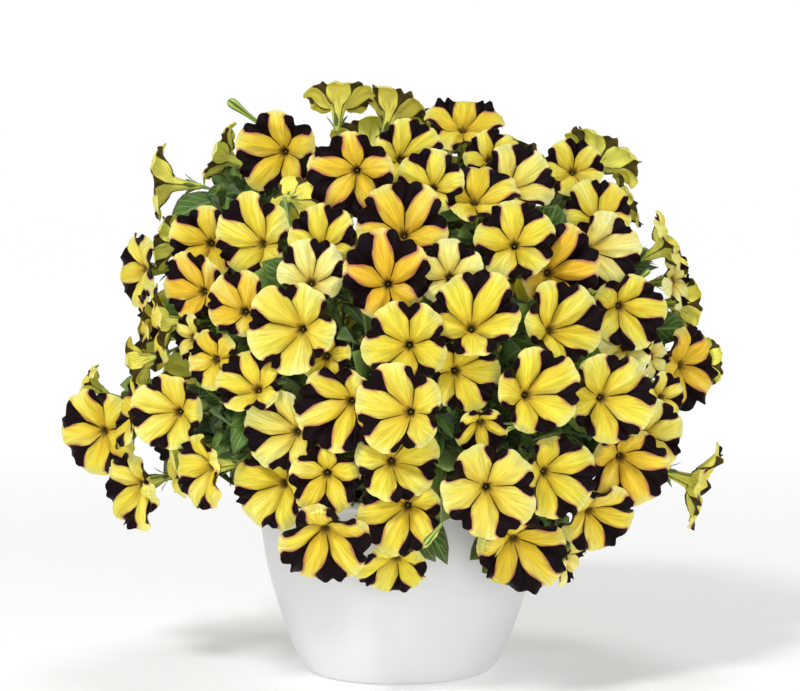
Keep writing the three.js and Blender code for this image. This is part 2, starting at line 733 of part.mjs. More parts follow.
function stemCurve(root, spray, bend) {
  const foot = vec(root.x, root.y, SOIL_TOP);
  const middle = spray.blooms.reduce((sum, bloom) => sum.add(bloom.base), vec(0, 0, 0));
  middle.divideScalar(spray.blooms.length);
  const inward = spray.blooms.reduce((sum, bloom) => sum.add(bloom.axis), vec(0, 0, 0)).normalize();
  const end = middle.addScaledVector(inward, -STEM_SHORT);
  const rise = 0.5 * end.distanceTo(foot);
  const lift = vec(foot.x * 1.08, foot.y * 1.08, SOIL_TOP + Math.max(rise, 40)).add(bend);
  return new THREE.QuadraticBezierCurve3(foot, lift, end);
}

function stemRod(curve, grow = 0) {
  const foot = curve.v0;
  const path = [vec(foot.x, foot.y, SOIL_TOP - HOLE_DEPTH), ...curve.getPoints(5)];
  const radii = path.map((_, i) => mix(STEM_RADIUS, STEM_TIP_RADIUS, i / (path.length - 1)) + grow);
  const shape = rod(path, radii, 3);
  return solidOf(shape.points, shape.faces);
}

// A stalk leaves the stem, bends and meets the tube of its bloom from behind.
function stalkPath(from, along, base, axis, bend, sway) {
  const length = from.distanceTo(base);
  const outward = base.clone().sub(from).normalize().multiplyScalar(0.8).addScaledVector(along, 0.5);
  const near = from.clone().addScaledVector(outward, 0.3 * length).add(bend);
  const far = base.clone().addScaledVector(axis, -Math.min(0.4 * length, 16));
  far.addScaledVector(bend, 0.4).add(sway);
  const curve = new THREE.CubicBezierCurve3(from, near, far, base);
  return curve.getPoints(3);
}

function rodSolid(path, radius, grow, sides = 3) {
  const shape = rod(path, path.map(() => radius + grow), sides);
  return solidOf(shape.points, shape.faces);
}

// No bend at first, then bends of each size in every way across two directions.
function bendsAcross(across, side, sizes) {
  const list = [vec(0, 0, 0)];
  for (const size of sizes) {
    for (let k = 0; k < BEND_WAYS; k += 1) {
      const angle = (k / BEND_WAYS) * 2 * Math.PI;
      list.push(
        vec(0, 0, 0)
          .addScaledVector(across, Math.cos(angle) * size)
          .addScaledVector(side, Math.sin(angle) * size),
      );
    }
  }
  return list;
}

function bendsRound(axis, sizes) {
  const across = anyAcross(axis);
  return bendsAcross(across, axis.clone().cross(across), sizes);
}

function growStem(spray, root, index, standing) {
  const bends = bendsAcross(vec(1, 0, 0), vec(0, 1, 0), STEM_BENDS);
  const curves = bends.map((bend) => stemCurve(root, spray, bend));
  const free = curves.find((curve) => {
    const probe = piece(stemRod(curve, CLEARANCE));
    const clear = !crossesAny(probe, standing);
    probe.solid.delete();
    return clear;
  });
  const curve = free ?? curves[0];
  return { curve, ...piece(stemRod(curve), index) };
}

// Stalks of one spray may touch inside their stem, so they are compared from a little way out.
function growStalk(spray, bloom, index, standing) {
  const own = new Set([bloom, spray.stem, ...spray.stalks]);
  const others = standing.filter((other) => !own.has(other));
  const clearOf = (path, pieces) => {
    const probe = piece(rodSolid(path, STALK_RADIUS, CLEARANCE));
    const clear = !crossesAny(probe, pieces);
    probe.solid.delete();
    return clear;
  };
  const nearBends = bendsRound(bloom.axis, STALK_BENDS);
  const farBends = bendsRound(bloom.axis, STALK_END_BENDS);
  for (const [near, far] of nearBends.flatMap((a) => farBends.map((b) => [a, b]))) {
    for (const share of STALK_SHARES) {
      const from = spray.stem.curve.getPoint(share);
      const along = spray.stem.curve.getTangent(share);
      const path = stalkPath(from, along, bloom.base, bloom.axis, near, far);
      const outer = [mixed(path[0], path[1], 0.6), ...path.slice(1)];
      if (clearOf(path, others) && clearOf(outer, spray.stalks)) {
        return { path, ...piece(rodSolid(path, STALK_RADIUS, 0), index) };
      }
    }
  }
  const straight = vec(0, 0, 0);
  const from = spray.stem.curve.getPoint(STALK_LAST_SHARE);
  const along = spray.stem.curve.getTangent(STALK_LAST_SHARE);
  const path = stalkPath(from, along, bloom.base, bloom.axis, straight, straight);
  return { path, ...piece(rodSolid(path, STALK_RADIUS, 0), index) };
}

// Leaves and buds.
// A leaf lies along a curve from its foot to its tip: seven points round its edge, ridge and keel between.
function leafSolid(foot, tip, face, size, grow = 0) {
  const length = foot.distanceTo(tip);
  const along = tip.clone().sub(foot).normalize();
  const up = face.clone().addScaledVector(along, -face.dot(along)).normalize();
  const side = up.clone().cross(along);
  const width = LEAF.width * length * size;
  const place = (share, across, rise) =>
    foot
      .clone()
      .addScaledVector(along, share * length)
      .addScaledVector(side, across)
      .addScaledVector(up, rise + LEAF.droop * length * 4 * share * (1 - share) * 0.5);
  const half = LEAF.thickness / 2 + grow;
  const wide = 0.5 * width + grow;
  const fold = LEAF.fold * width;
  const edge = [
    place(0, LEAF.foot + grow, 0),
    place(0.36, 0.72 * wide, fold),
    place(0.7, wide, fold),
    place(1, 0, 0).addScaledVector(along, grow),
    place(0.7, -wide, fold),
    place(0.36, -0.72 * wide, fold),
    place(0, -LEAF.foot - grow, 0),
  ];
  const middle = [place(0.56, 0, 2 * half), place(0.56, 0, -half), place(0, 0, -LEAF.foot - grow)];
  const [top, keel, under] = [7, 8, 9];
  const faces = [];
  for (let i = 0; i < 6; i += 1) {
    faces.push([i + 1, i, top], [i, i + 1, keel]);
  }
  faces.push([0, 6, top], [under, 0, keel], [6, under, keel], [6, 0, under]);
  return solidOf([...edge, ...middle], faces);
}

function budSolid(base, tip, grow = 0) {
  const length = base.distanceTo(tip);
  const path = BUD.map(([share]) => mixed(base, tip, share));
  const shape = rod(path, BUD.map(([, radius]) => radius * length + grow), BUD_SIDES);
  return solidOf(shape.points, shape.faces);
}

// The leaf, or nothing where it would meet another piece than the stem and stalks of its own spray.
function tryLeaf(spray, foot, tip, face, size, standing) {
  const probe = piece(leafSolid(foot, tip, face, size, CLEARANCE));
  const own = new Set([spray.stem, ...spray.stalks]);
  const clear = !crossesAny(probe, standing.filter((other) => !own.has(other)));
  probe.solid.delete();
  if (!clear) return null;
  return { foot, tip, ...piece(leafSolid(foot, tip, face, size), spray.index) };
}

// Points of a spray's stem and stalks that a leaf may grow from.
function leafFeet(spray) {
  const stem = LEAF_FEET.map((share) => spray.stem.curve.getPoint(share));
  const stalks = spray.stalks.flatMap(({ path: [first, second, third] }) => [
    mixed(first, second, 0.7),
    mixed(second, third, 0.5),
  ]);
  return [...stem, ...stalks];
}

// Feet of all sprays, the nearest to a point first.
function feetNear(sprays, point) {
  const feet = sprays.flatMap((spray) =>
    leafFeet(spray).map((foot) => ({ spray, foot, far: foot.distanceTo(point) })),
  );
  return feet.sort((a, b) => a.far - b.far);
}

function growFrontLeaves(sprays, standing) {
  const draw = draws(SEEDS.frontLeaves);
  for (const [across, down] of FRONT_LEAVES) {
    const ray = viewRay(across, down);
    const surface = depthOfDome(ray);
    let grown = null;
    for (const deep of LEAF_DEPTHS) {
      const tip = EYE.clone().addScaledVector(ray, surface + deep);
      const feet = feetNear(sprays, tip)
        .filter(({ far }) => far > LEAF_REACH[0] && far < LEAF_REACH[1])
        .slice(0, 10);
      for (const { spray, foot } of feet) {
        const sway = vec(draw() - 0.5, draw() - 0.5, draw()).multiplyScalar(0.9);
        const face = LOOK.clone().multiplyScalar(-1).add(sway);
        grown = tryLeaf(spray, foot, tip, face, 1, standing);
        if (grown) {
          spray.leaves.push(grown);
          standing.push(grown);
          break;
        }
      }
      if (grown) break;
    }
  }
}

function growLeaves(sprays, standing) {
  const draw = draws(SEEDS.leaves);
  for (const spray of sprays) {
    const feet = leafFeet(spray);
    const wanted = spray.leaves.length + LEAVES_PER_SPRAY;
    for (let attempt = 0; attempt < LEAF_TRIES && spray.leaves.length < wanted; attempt += 1) {
      const foot = feet[Math.floor(draw() * feet.length)];
      const outward = foot.clone().sub(HUB).normalize();
      const away = vec(draw() - 0.5, draw() - 0.5, draw() - 0.35).multiplyScalar(1.5);
      const way = outward.clone().add(away).normalize();
      const length = mix(...LEAF.length, draw());
      const tip = foot.clone().addScaledVector(way, length);
      if (domeLevel(tip) > LEAF_OUTSIDE) continue;
      const face = outward.clone().add(vec(0, 0, 0.8)).addScaledVector(way, 0.2);
      const grown = tryLeaf(spray, foot, tip, face, mix(0.85, 1.15, draw()), standing);
      if (grown) {
        spray.leaves.push(grown);
        standing.push(grown);
      }
    }
  }
}

function growBud(sprays, base, tip, standing) {
  if (crossesAny(piece(budSolid(base, tip, CLEARANCE)), standing)) return false;
  const way = tip.clone().sub(base).normalize();
  for (const { spray, foot } of feetNear(sprays, base).slice(0, 30)) {
    const own = new Set([spray.stem, ...spray.stalks]);
    const others = standing.filter((other) => !own.has(other));
    for (const bend of bendsRound(way, BUD_BENDS)) {
      const path = stalkPath(foot, way, base, way, bend, vec(0, 0, 0));
      const probe = piece(rodSolid(path, STALK_RADIUS, CLEARANCE));
      if (crossesAny(probe, others)) continue;
      const stalk = piece(rodSolid(path, STALK_RADIUS, 0), spray.index);
      const bud = piece(budSolid(base, tip), spray.index);
      spray.buds.push(stalk, bud);
      standing.push(stalk, bud);
      return true;
    }
  }
  return false;
}

function growBuds(sprays, standing) {
  for (const [tipX, tipY, baseX, baseY] of FRONT_BUDS) {
    const ray = viewRay(baseX, baseY);
    for (const deep of BUD_DEPTHS) {
      const depth = depthOfDome(ray) + deep;
      const base = EYE.clone().addScaledVector(ray, depth);
      const tip = EYE.clone().addScaledVector(viewRay(tipX, tipY), depth - BUD_LEAN);
      if (growBud(sprays, base, tip, standing)) break;
    }
  }
}

// The whole plant.
const MATERIALS = {
  pot: { color: 0xe9eaec, roughness: 0.35, metalness: 0 },
  soil: { color: 0x3b2b20, roughness: 0.95, metalness: 0 },
  spray: { color: 0xe6cf45, roughness: 0.6, metalness: 0 },
};

function growSprays(pot) {
  const soil = piece(soilSolid([]));
  const blooms = [];
  placeFront(blooms, [pot, soil]);
  placeBack(blooms, [pot, soil]);
  const sprays = groups(blooms);
  const roots = rootsOf(sprays);
  const standing = [pot, ...blooms];
  sprays.forEach((spray, index) => {
    const stem = growStem(spray, roots[index], index, standing);
    Object.assign(spray, { index, root: roots[index], stem, stalks: [], leaves: [], buds: [] });
    standing.push(stem);
  });
  standing.push(soil);
  for (const spray of sprays) {
    for (const bloom of spray.blooms) {
      const stalk = growStalk(spray, bloom, spray.index, standing);
      spray.stalks.push(stalk);
      standing.push(stalk);
    }
  }
  growBuds(sprays, standing);
  growFrontLeaves(sprays, standing);
  growLeaves(sprays, standing);
  return sprays;
}

// One closed body: the stem, the blooms on their stalks, the leaves and the buds.
function joined(spray) {
  const heads = spray.blooms.map((bloom, i) => bloomSolid(bloom, 0, spray.stalks[i].path));
  const rest = [...spray.leaves, ...spray.buds].map((part) => part.solid);
  return [...heads, ...rest].reduce((sum, solid) => sum.add(solid), spray.stem.solid);
}

const petunia = new THREE.Group();

function addMesh(name, solid, look) {
  const mesh = new THREE.Mesh(geometryOf(solid), new THREE.MeshStandardMaterial(MATERIALS[look]));
  mesh.name = name;
  petunia.add(mesh);
}

const potPiece = piece(potSolid());
const allSprays = growSprays(potPiece);
addMesh("pot", potPiece.solid, "pot");
addMesh("soil", soilSolid(allSprays.map((spray) => spray.root)), "soil");
for (const spray of allSprays) {
  addMesh(`spray_${String(spray.index + 1).padStart(2, "0")}`, joined(spray), "spray");
}

export default petunia;
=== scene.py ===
import math

import bpy
import numpy as np
from mathutils import Matrix, Vector


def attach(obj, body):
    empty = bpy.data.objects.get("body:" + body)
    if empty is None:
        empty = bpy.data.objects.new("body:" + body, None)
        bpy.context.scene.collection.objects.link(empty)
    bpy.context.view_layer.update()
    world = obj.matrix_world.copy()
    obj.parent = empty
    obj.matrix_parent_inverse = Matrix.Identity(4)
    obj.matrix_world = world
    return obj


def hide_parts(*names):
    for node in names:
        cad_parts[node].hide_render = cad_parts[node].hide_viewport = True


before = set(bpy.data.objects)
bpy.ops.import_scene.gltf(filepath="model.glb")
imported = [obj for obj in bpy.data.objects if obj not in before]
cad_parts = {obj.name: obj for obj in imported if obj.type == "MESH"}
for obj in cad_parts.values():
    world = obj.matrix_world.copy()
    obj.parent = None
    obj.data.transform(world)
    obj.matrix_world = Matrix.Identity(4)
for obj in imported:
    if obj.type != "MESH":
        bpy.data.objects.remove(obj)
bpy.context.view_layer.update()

# A petunia in full bloom in its round pot. Each bloom, leaf, bud, stalk and stem is found in the packed
# solids and made again with finer form. Small leaves, sepals, stamens and hairs, which the solids leave
# out, are added.
MM = 0.001
ROUND = 6.3  # the end of the range that seeded angles are drawn from

# The camera, as the front view of the solids has it.
FRAME_WIDTH = 800
FRAME_HEIGHT = 691
VIEW_DISTANCE = 2.0
VIEW_PITCH = math.radians(4)
VIEW_AIM = np.array([0, 0, 0.235])
VIEW_LENS = 125
SENSOR = 36
FOCAL = VIEW_LENS / SENSOR * FRAME_WIDTH
LOOK = np.array([0, math.cos(VIEW_PITCH), -math.sin(VIEW_PITCH)])
LEVEL_UP = np.array([0, math.sin(VIEW_PITCH), math.cos(VIEW_PITCH)])
EYE = VIEW_AIM - VIEW_DISTANCE * LOOK

# Blooms. Lengths without a unit are shares of the bloom's radius.
LOBES = 5
LOBE_TURN = 2 * math.pi / LOBES
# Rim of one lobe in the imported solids: share of the way from seam to seam, and radius.
FINE_LOBE = ((0, 0.85), (0.22, 0.99), (0.5, 1.03), (0.78, 0.99))
PLAIN_LOBE = ((0, 0.85), (0.28, 1.01), (0.72, 1.01))
RIM_COUNTS = (LOBES * len(FINE_LOBE), LOBES * len(PLAIN_LOBE))
THROAT_DEPTH = 0.3
TUBE_DEPTH = 1.1
THROAT_INSIDE = 2.9 * MM
THROAT_OUTSIDE = 6.2 * MM
THROAT_LIP = 1.5 * MM
RIM_THICKNESS = 0.4 * MM
THROAT_EXTRA = 0.35 * MM  # how much thicker the petal is at the throat
# Seeded ranges of each lobe's form. The blotch's are shares of its size, and the bend's its mean and spread.
BLOTCH_WIDTHS = (0.78, 1.18)
PUFF = (0.08, 0.17)
BROW = (0.02, 0.11)
FOLD = (-0.01, 0.035)
CURL = (-0.06, 0.16)
BEND = (-0.015, 0.075)
RUFFLES = (7, 11, 16)  # waves round the rim
EAR_BULGE = 0.06
NOTCH_DEPTH = 0.02
SEAM_CREASE = 0.09
END_DEPTH = 0.02
# Shares of the way round a lobe where the petal has points, closer together at the seam.
HALF_LOBE = (0.03, 0.075, 0.125, 0.17, 0.215, 0.265, 0.33, 0.42)
LOBE_STEPS = (0, *HALF_LOBE, 0.5, *(1 - step for step in HALF_LOBE[::-1]))
FACE_STEPS = (0, 0.08, 0.18, 0.3, 0.43, 0.56, 0.68, 0.79, 0.88, 0.95, 1)
BACK_STEPS = (1, 0.94, 0.82, 0.66, 0.46, 0.24, 0)
# Inside and outside of the tube: depth below the throat, and radius as a share of the throat's.
INSIDE_TUBE = ((0.1, 0.7), (0.28, 0.45), (0.5, 0.22))
OUTSIDE_TUBE = ((0.16, 0.8), (0.36, 0.62), (0.6, 0.48), (0.8, 0.37))

# Looks of single blooms: across and down in the view, size of the blotches, and warmth, which is -1 for
# cream, 0 for lemon and 1 for golden.
BLOOM_LOOKS = (
    (490, 492, 0.25, -0.35), (397, 408, 0.24, -0.2), (405, 343, 0.25, 0), (290, 328, 0.2, -0.2),
    (325, 548, 0.34, 0.35), (540, 391, 0.26, 0.1), (612, 398, 0.26, 0), (350, 175, 0.4, 0.6),
    (275, 153, 0.34, 0.4), (165, 413, 0.22, -0.2), (475, 312, 0.3, 0), (386, 274, 0.4, 0.9),
    (337, 410, 0.38, 0.2), (398, 462, 0.26, -0.1), (400, 515, 0.3, 0.3), (392, 572, 0.24, 0),
    (560, 478, 0.28, 0), (630, 470, 0.34, 0.6), (565, 322, 0.28, -0.1), (515, 240, 0.3, 0.1),
    (605, 252, 0.26, -0.9), (480, 193, 0.3, 0.3), (312, 270, 0.24, -0.8), (192, 285, 0.3, 0.7),
    (325, 480, 0.34, 0.3), (523, 555, 0.36, 0.4), (605, 517, 0.32, 0.4), (548, 266, 0.36, 0.8),
    (450, 272, 0.26, -0.7), (688, 368, 0.34, 0.7), (682, 278, 0.2, -0.9), (655, 355, 0.24, -0.9),
    (625, 347, 0.24, -0.8), (572, 560, 0.2, -0.9), (478, 428, 0.4, 0.2), (402, 222, 0.34, 0.6),
)
LOOK_REACH = 16  # pixels

# Buds: tip and base, across and down in the view.
BUD_VIEWS = (
    (228, 100, 258, 122), (424, 545, 442, 524), (500, 432, 522, 424),
    (650, 270, 634, 284), (540, 155, 552, 172), (668, 456, 640, 450),
)
BUD_REACH = 7  # pixels from the tip
BUD_FLATNESS = 2.5  # pixels along the bud


def colour(red, green, blue):
    """A colour given in 0 to 255 as it is seen, as the numbers that a finish takes."""
    parts = [c / 255 for c in (red, green, blue)]
    return (*[c / 12.92 if c <= 0.04045 else ((c + 0.055) / 1.055) ** 2.4 for c in parts], 1)


def grey(level):
    return (level, level, level, 1)


class Wire:
    """A node's output. Sums and products of wires add their Math nodes."""

    def __init__(self, tree, socket):
        self.tree = tree
        self.socket = socket

    def math(self, operation, *others):
        inputs = dict(enumerate((self, *others)))
        return self.tree.node("ShaderNodeMath", {"operation": operation}, inputs)

    def __add__(self, other):
        return self.math("ADD", other)

    def __sub__(self, other):
        return self.math("SUBTRACT", other)

    def __mul__(self, other):
        return self.math("MULTIPLY", other)

    def __truediv__(self, other):
        return self.math("DIVIDE", other)

    def __pow__(self, other):
        return self.math("POWER", other)

    def __neg__(self):
        return self * -1

    def __rsub__(self, other):
        return -self + other

    __radd__ = __add__
    __rmul__ = __mul__

    def rise(self, low, high):
        """0 up to low, 1 from high on, and smooth between."""
        settings = {"interpolation_type": "SMOOTHSTEP", "clamp": True}
        inputs = {"Value": self, "From Min": low, "From Max": high, "To Min": 0, "To Max": 1}
        return self.tree.node("ShaderNodeMapRange", settings, inputs)


class Tree:
    """The nodes of one finish or one geometry tree."""

    def __init__(self, nodes):
        self.nodes = nodes

    def node(self, kind, settings=None, inputs=None, out=0):
        made = self.nodes.nodes.new(kind)
        for name, value in (settings or {}).items():
            setattr(made, name, value)
        for name, value in (inputs or {}).items():
            self.join(value, made.inputs[name])
        return Wire(self, made.outputs[out])

    def join(self, value, socket):
        if isinstance(value, Wire):
            self.nodes.links.new(value.socket, socket)
        else:
            socket.default_value = value

    def vector(self, x, y, z):
        return self.node("ShaderNodeCombineXYZ", {}, {0: x, 1: y, 2: z})

    def parts(self, vector):
        split = self.node("ShaderNodeSeparateXYZ", {}, {0: vector}).socket.node
        return [Wire(self, socket) for socket in split.outputs]


class Finish(Tree):
    """A procedural material. Values that are the same all over are set on the shader itself."""

    def __init__(self, name, **plain):
        self.material = bpy.data.materials.new(name)
        self.material.use_nodes = True
        super().__init__(self.material.node_tree)
        self.shader = next(n for n in self.nodes.nodes if n.type == "BSDF_PRINCIPLED")
        for socket, value in plain.items():
            self.shader.inputs[socket.replace("_", " ")].default_value = value

    def attribute(self, name, out="Fac"):
        return self.node("ShaderNodeAttribute", {"attribute_name": name}, {}, out)

    def place(self):
        return self.node("ShaderNodeTexCoord", {}, {}, "Object")

    def noise(self, where, scale, detail=3, roughness=0.55):
        inputs = {"Vector": where, "Scale": scale, "Detail": detail, "Roughness": roughness}
        return self.node("ShaderNodeTexNoise", {}, inputs)

    def mix(self, share, first, second):
        return self.node("ShaderNodeMix", {"data_type": "RGBA"}, {0: share, 6: first, 7: second}, 2)

    def bump(self, height, distance, strength=1):
        inputs = {"Height": height, "Distance": distance, "Strength": strength}
        return self.node("ShaderNodeBump", {}, inputs)

    def show(self, **links):
        for socket, value in links.items():
            self.join(value, self.shader.inputs[socket.replace("_", " ")])
        return self.material


def petal_finish():
    """Lemon to golden petals with a near black purple blotch at each seam, and a greener veined outside."""
    f = Finish(
        "petal", Specular_IOR_Level=0.08, Subsurface_Weight=0.35, Subsurface_Scale=0.002,
        Subsurface_Radius=(1.0, 0.85, 0.35),
    )
    gap = f.attribute("seam_gap")
    reach = f.attribute("reach")
    outside = f.attribute("outside")
    blotch = f.attribute("blotch")
    warmth = f.attribute("warmth")
    fan = f.attribute("fan", "Vector")
    place = f.place()
    fine = f.noise(place, 1100, 3)
    ragged = f.noise(place, 420, 2)
    uneven = f.noise(place, 130, 2)
    x, y, seed = f.parts(fan)
    veins = f.noise(f.vector(x * 11, y * 11, reach * 1.3 + seed), 1, 3)
    hairlines = f.noise(f.vector(x * 30, y * 30, reach * 2.5 + seed), 1, 2)

    # The blotch: a line along the seam that flares to a rounded patch at the rim.
    flare_from = 0.92 - 1.35 * blotch
    flare = ((reach - flare_from) / (0.88 - flare_from)).math("MAXIMUM", 0).math("MINIMUM", 1)
    flare = flare ** (0.3 + 2.2 * blotch)
    tip = 1 - 0.1 * reach.rise(0.9, 1.03)
    wide = 0.008 + 0.016 * reach + blotch * flare * tip
    edge = gap + (ragged - 0.5) * 0.018 + (uneven - 0.5) * 0.06 * flare
    dark = 1 - (edge - wide).rise(-0.008, 0.008)
    dark = dark * (flare + (blotch * 2.2 + reach * 0.5).rise(0.3, 0.9)).math("MINIMUM", 1)
    border = 1 - (edge - wide).rise(0, 0.085 + 0.03 * warmth)
    border = border * flare.rise(0, 0.3) * uneven.rise(0.15, 0.5)

    # The face: its own colour, then lighter and darker lobes, a brownish tint near the seams deepened by
    # painted shade in their creases, veins, the throat darkened partly by painted shade of the funnel, and
    # the bordered blotch.
    lemon = f.mix(veins.rise(0.35, 0.7), colour(237, 224, 84), colour(216, 202, 60))
    golden = f.mix(veins.rise(0.3, 0.7), colour(243, 204, 68), colour(230, 178, 50))
    cream = f.mix(veins.rise(0.3, 0.7), colour(246, 243, 176), colour(234, 231, 134))
    face = f.mix(warmth.rise(0, 1), lemon, golden)
    pale = (warmth * -1).rise(0, 1) * 0.85 + reach.rise(0.7, 1.02) * 0.5
    face = f.mix(pale.math("MINIMUM", 1), face, cream)
    lobes = f.noise(f.vector(x * 1.2, y * 1.2, seed * 3), 1, 1)
    face = f.mix(lobes.rise(0.52, 0.72) * 0.35, face, cream)
    face = f.mix((1 - lobes.rise(0.3, 0.48)) * 0.35, face, colour(214, 178, 48))
    face = f.mix((1 - reach.rise(0.1, 0.6)) * 0.4, face, colour(236, 202, 34))
    # Painted shade: the inner face darkens to olive-brown towards the creased seams. This is partly the
    # petal's own brownish tint there, partly shade painted into the creases.
    shade = (1 - (edge - wide).rise(0, 0.14)) * (1 - flare) * reach.rise(0.02, 0.2)
    face = f.mix(shade * 0.4, face, colour(150, 112, 36))
    lines = hairlines.rise(0.5, 0.64) * (1 - 0.7 * reach.rise(0.6, 1.05))
    face = f.mix(lines * 0.34, face, colour(166, 138, 40))
    # The throat: an olive-brown of its own, deepened by painted shade that darkens down the funnel and into
    # the tube.
    face = f.mix((1 - reach.rise(0.0, 0.26)) * 0.6, face, colour(168, 132, 40))
    face = f.mix((1 - reach.rise(-0.04, 0.1)) * 0.8, face, colour(84, 58, 26))
    face = f.mix(1 - reach.rise(-0.3, -0.02), face, colour(52, 40, 20))
    face = f.mix(border * 0.8, face, colour(172, 74, 92))
    brown = f.mix(reach.rise(0.15, 0.5), colour(88, 52, 22), colour(14, 2, 6))
    face = f.mix(dark, face, f.mix(fine.rise(0.55, 0.85), brown, colour(36, 10, 20)))

    # The outside: pale between its veins, with a dull blotch that shows through.
    back = f.mix(hairlines.rise(0.4, 0.7), colour(255, 252, 126), colour(240, 236, 92))
    back = f.mix(warmth.rise(0, 1) * 0.5, back, colour(240, 206, 84))
    back = f.mix(1 - reach.rise(-0.6, 0.3), back, colour(222, 228, 104))
    tube_veins = hairlines.rise(0.5, 0.66) * (1 - reach.rise(0.0, 0.5))
    back = f.mix(tube_veins * 0.7, back, colour(96, 70, 52))
    back_wide = 0.025 + 0.02 * reach + blotch * 0.8 * flare * tip
    back_dark = 1 - (edge - back_wide).rise(-0.03, 0.02)
    back = f.mix(back_dark * 0.94, back, colour(40, 14, 22))

    height = hairlines * 0.6 + veins * 0.8 + fine * dark * 1.2
    return f.show(
        Base_Color=f.mix(outside, face, back),
        Roughness=0.6 - 0.16 * dark,
        Normal=f.bump(height, 0.5 * MM, 0.6),
    )


def leaf_finish():
    """Sage green downy leaves with paler veins."""
    f = Finish(
        "leaf", Sheen_Weight=0.12, Sheen_Roughness=0.4, Specular_IOR_Level=0.25,
        Subsurface_Weight=0.08, Subsurface_Scale=0.002,
    )
    across = f.attribute("leaf_across")
    along = f.attribute("leaf_along")
    tone = f.attribute("tone")
    place = f.place()
    mottle = f.noise(place, 130, 3)
    off = across.math("ABSOLUTE")
    middle = 1 - off.rise(0.03, 0.12)
    ribs = ((along - off * 0.35) * 44 + mottle * 2).math("SINE").rise(0.72, 1) * off.rise(0.02, 0.2)
    blade = f.mix(mottle.rise(0.3, 0.7), colour(70, 104, 38), colour(98, 134, 56))
    blade = f.mix(tone.rise(0.45, 1), blade, colour(140, 168, 78))
    blade = f.mix(1 - tone.rise(0, 0.55), blade, colour(46, 76, 34))
    blade = f.mix(ribs * 0.6, blade, colour(136, 164, 92))
    blade = f.mix(middle * 0.7, blade, colour(140, 164, 98))
    height = 1 - (ribs * 0.5 + middle) + f.noise(place, 900, 2) * 0.4
    return f.show(Base_Color=blade, Roughness=0.5 + 0.2 * mottle, Normal=f.bump(height, 0.3 * MM, 0.7))


def stem_finish():
    """Light green stems with a downy sheen, browner low down, and buds striped along their ridges."""
    f = Finish("stem", Sheen_Weight=0.2, Sheen_Roughness=0.35)
    place = f.place()
    mottle = f.noise(place, 220, 3)
    low = f.parts(place)[2].rise(0.1, 0.2)
    green = f.mix(mottle.rise(0.35, 0.7), colour(112, 142, 66), colour(142, 160, 84))
    green = f.mix(low, colour(96, 92, 54), green)
    stripe = f.attribute("ridge").rise(0.35, 0.75)
    green = f.mix(f.attribute("bud"), green, f.mix(stripe, colour(176, 200, 84), colour(74, 100, 40)))
    return f.show(
        Base_Color=green,
        Roughness=0.5 + 0.15 * mottle,
        Normal=f.bump(f.noise(place, 1500, 2), 0.2 * MM, 0.6),
    )


def pot_finish():
    """Smooth satin moulded plastic, very light cool grey."""
    f = Finish("pot_plastic", Specular_IOR_Level=0.3, Coat_Weight=0.06, Coat_Roughness=0.3)
    place = f.place()
    cloud = f.noise(place, 9, 3)
    speck = f.noise(place, 260, 3)
    white = f.mix(cloud.rise(0.35, 0.65), colour(226, 226, 228), colour(220, 220, 223))
    return f.show(
        Base_Color=white,
        Roughness=0.34 + 0.06 * speck,
        Normal=f.bump(f.noise(place, 700, 2), 0.06 * MM, 0.35),
    )


def soil_finish():
    """Dark damp peat with specks of white grit."""
    f = Finish("soil")
    place = f.place()
    lump = f.noise(place, 160, 5)
    grain = f.noise(place, 900, 3)
    brown = f.mix(lump.rise(0.35, 0.65), colour(38, 26, 18), colour(74, 54, 38))
    brown = f.mix(grain.rise(0.55, 0.75) * 0.6, brown, colour(104, 80, 56))
    grit = f.noise(place, 260, 0)
    brown = f.mix(grit.rise(0.74, 0.78), brown, colour(206, 200, 188))
    return f.show(
        Base_Color=brown,
        Roughness=0.85 + 0.1 * grain,
        Normal=f.bump(lump + grain * 0.5, 1.2 * MM, 0.9),
    )


def hair_finish():
    """Fine pale hairs, some greener."""
    f = Finish("hair", Sheen_Weight=0.3, Specular_IOR_Level=0.4)
    shade = f.noise(f.place(), 700, 1)
    return f.show(
        Base_Color=f.mix(shade.rise(0.3, 0.7), colour(178, 192, 128), colour(222, 228, 188)),
        Roughness=0.45 + 0.1 * shade,
    )


def anther_finish():
    """Dusty pale yellow-green anthers."""
    f = Finish("anther", Specular_IOR_Level=0.2)
    dust = f.noise(f.place(), 2600, 2)
    return f.show(
        Base_Color=f.mix(dust.rise(0.3, 0.7), colour(140, 136, 66), colour(186, 176, 96)),
        Roughness=0.75 + 0.1 * dust,
    )


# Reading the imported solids. A knife edge is where two faces meet back to back, as at a petal's rim or a
# leaf's edge.
WELD = 2e-6
KNIFE_LENGTH = 2.5 * MM
KNIFE_FOLD = -0.8
RIM_STEP = 4 * MM
LEAF_EDGE_COUNTS = (5, 6, 7)
# How wide a ring of points may be, and how many rings are followed, on a stalk, a stem and a bud.
STALK_RINGS = (4 * MM, 4)
STEM_RINGS = (3.4 * MM, 6)
BUD_RINGS = (12 * MM, 6)
# A stem's foot, and the shares of its curve's three control points in its second and third ring, which lie
# one and two fifths of the way along.
ROOT_LEVEL = 0.103
ROOT_REACH = 0.1
ROOT_FLATNESS = 2e-5
SECOND_RING = (0.64, 0.32, 0.04)
THIRD_RING = (0.36, 0.48, 0.16)
STEM_STEPS = 26


def unit(vector):
    return vector / np.linalg.norm(vector)


def in_view(point):
    """Across and down of a point in the front view, in pixels."""
    away = point - EYE
    depth = away @ LOOK
    across = FRAME_WIDTH / 2 + FOCAL * away[0] / depth
    down = FRAME_HEIGHT / 2 - FOCAL * (away @ LEVEL_UP) / depth
    return np.array([across, down])


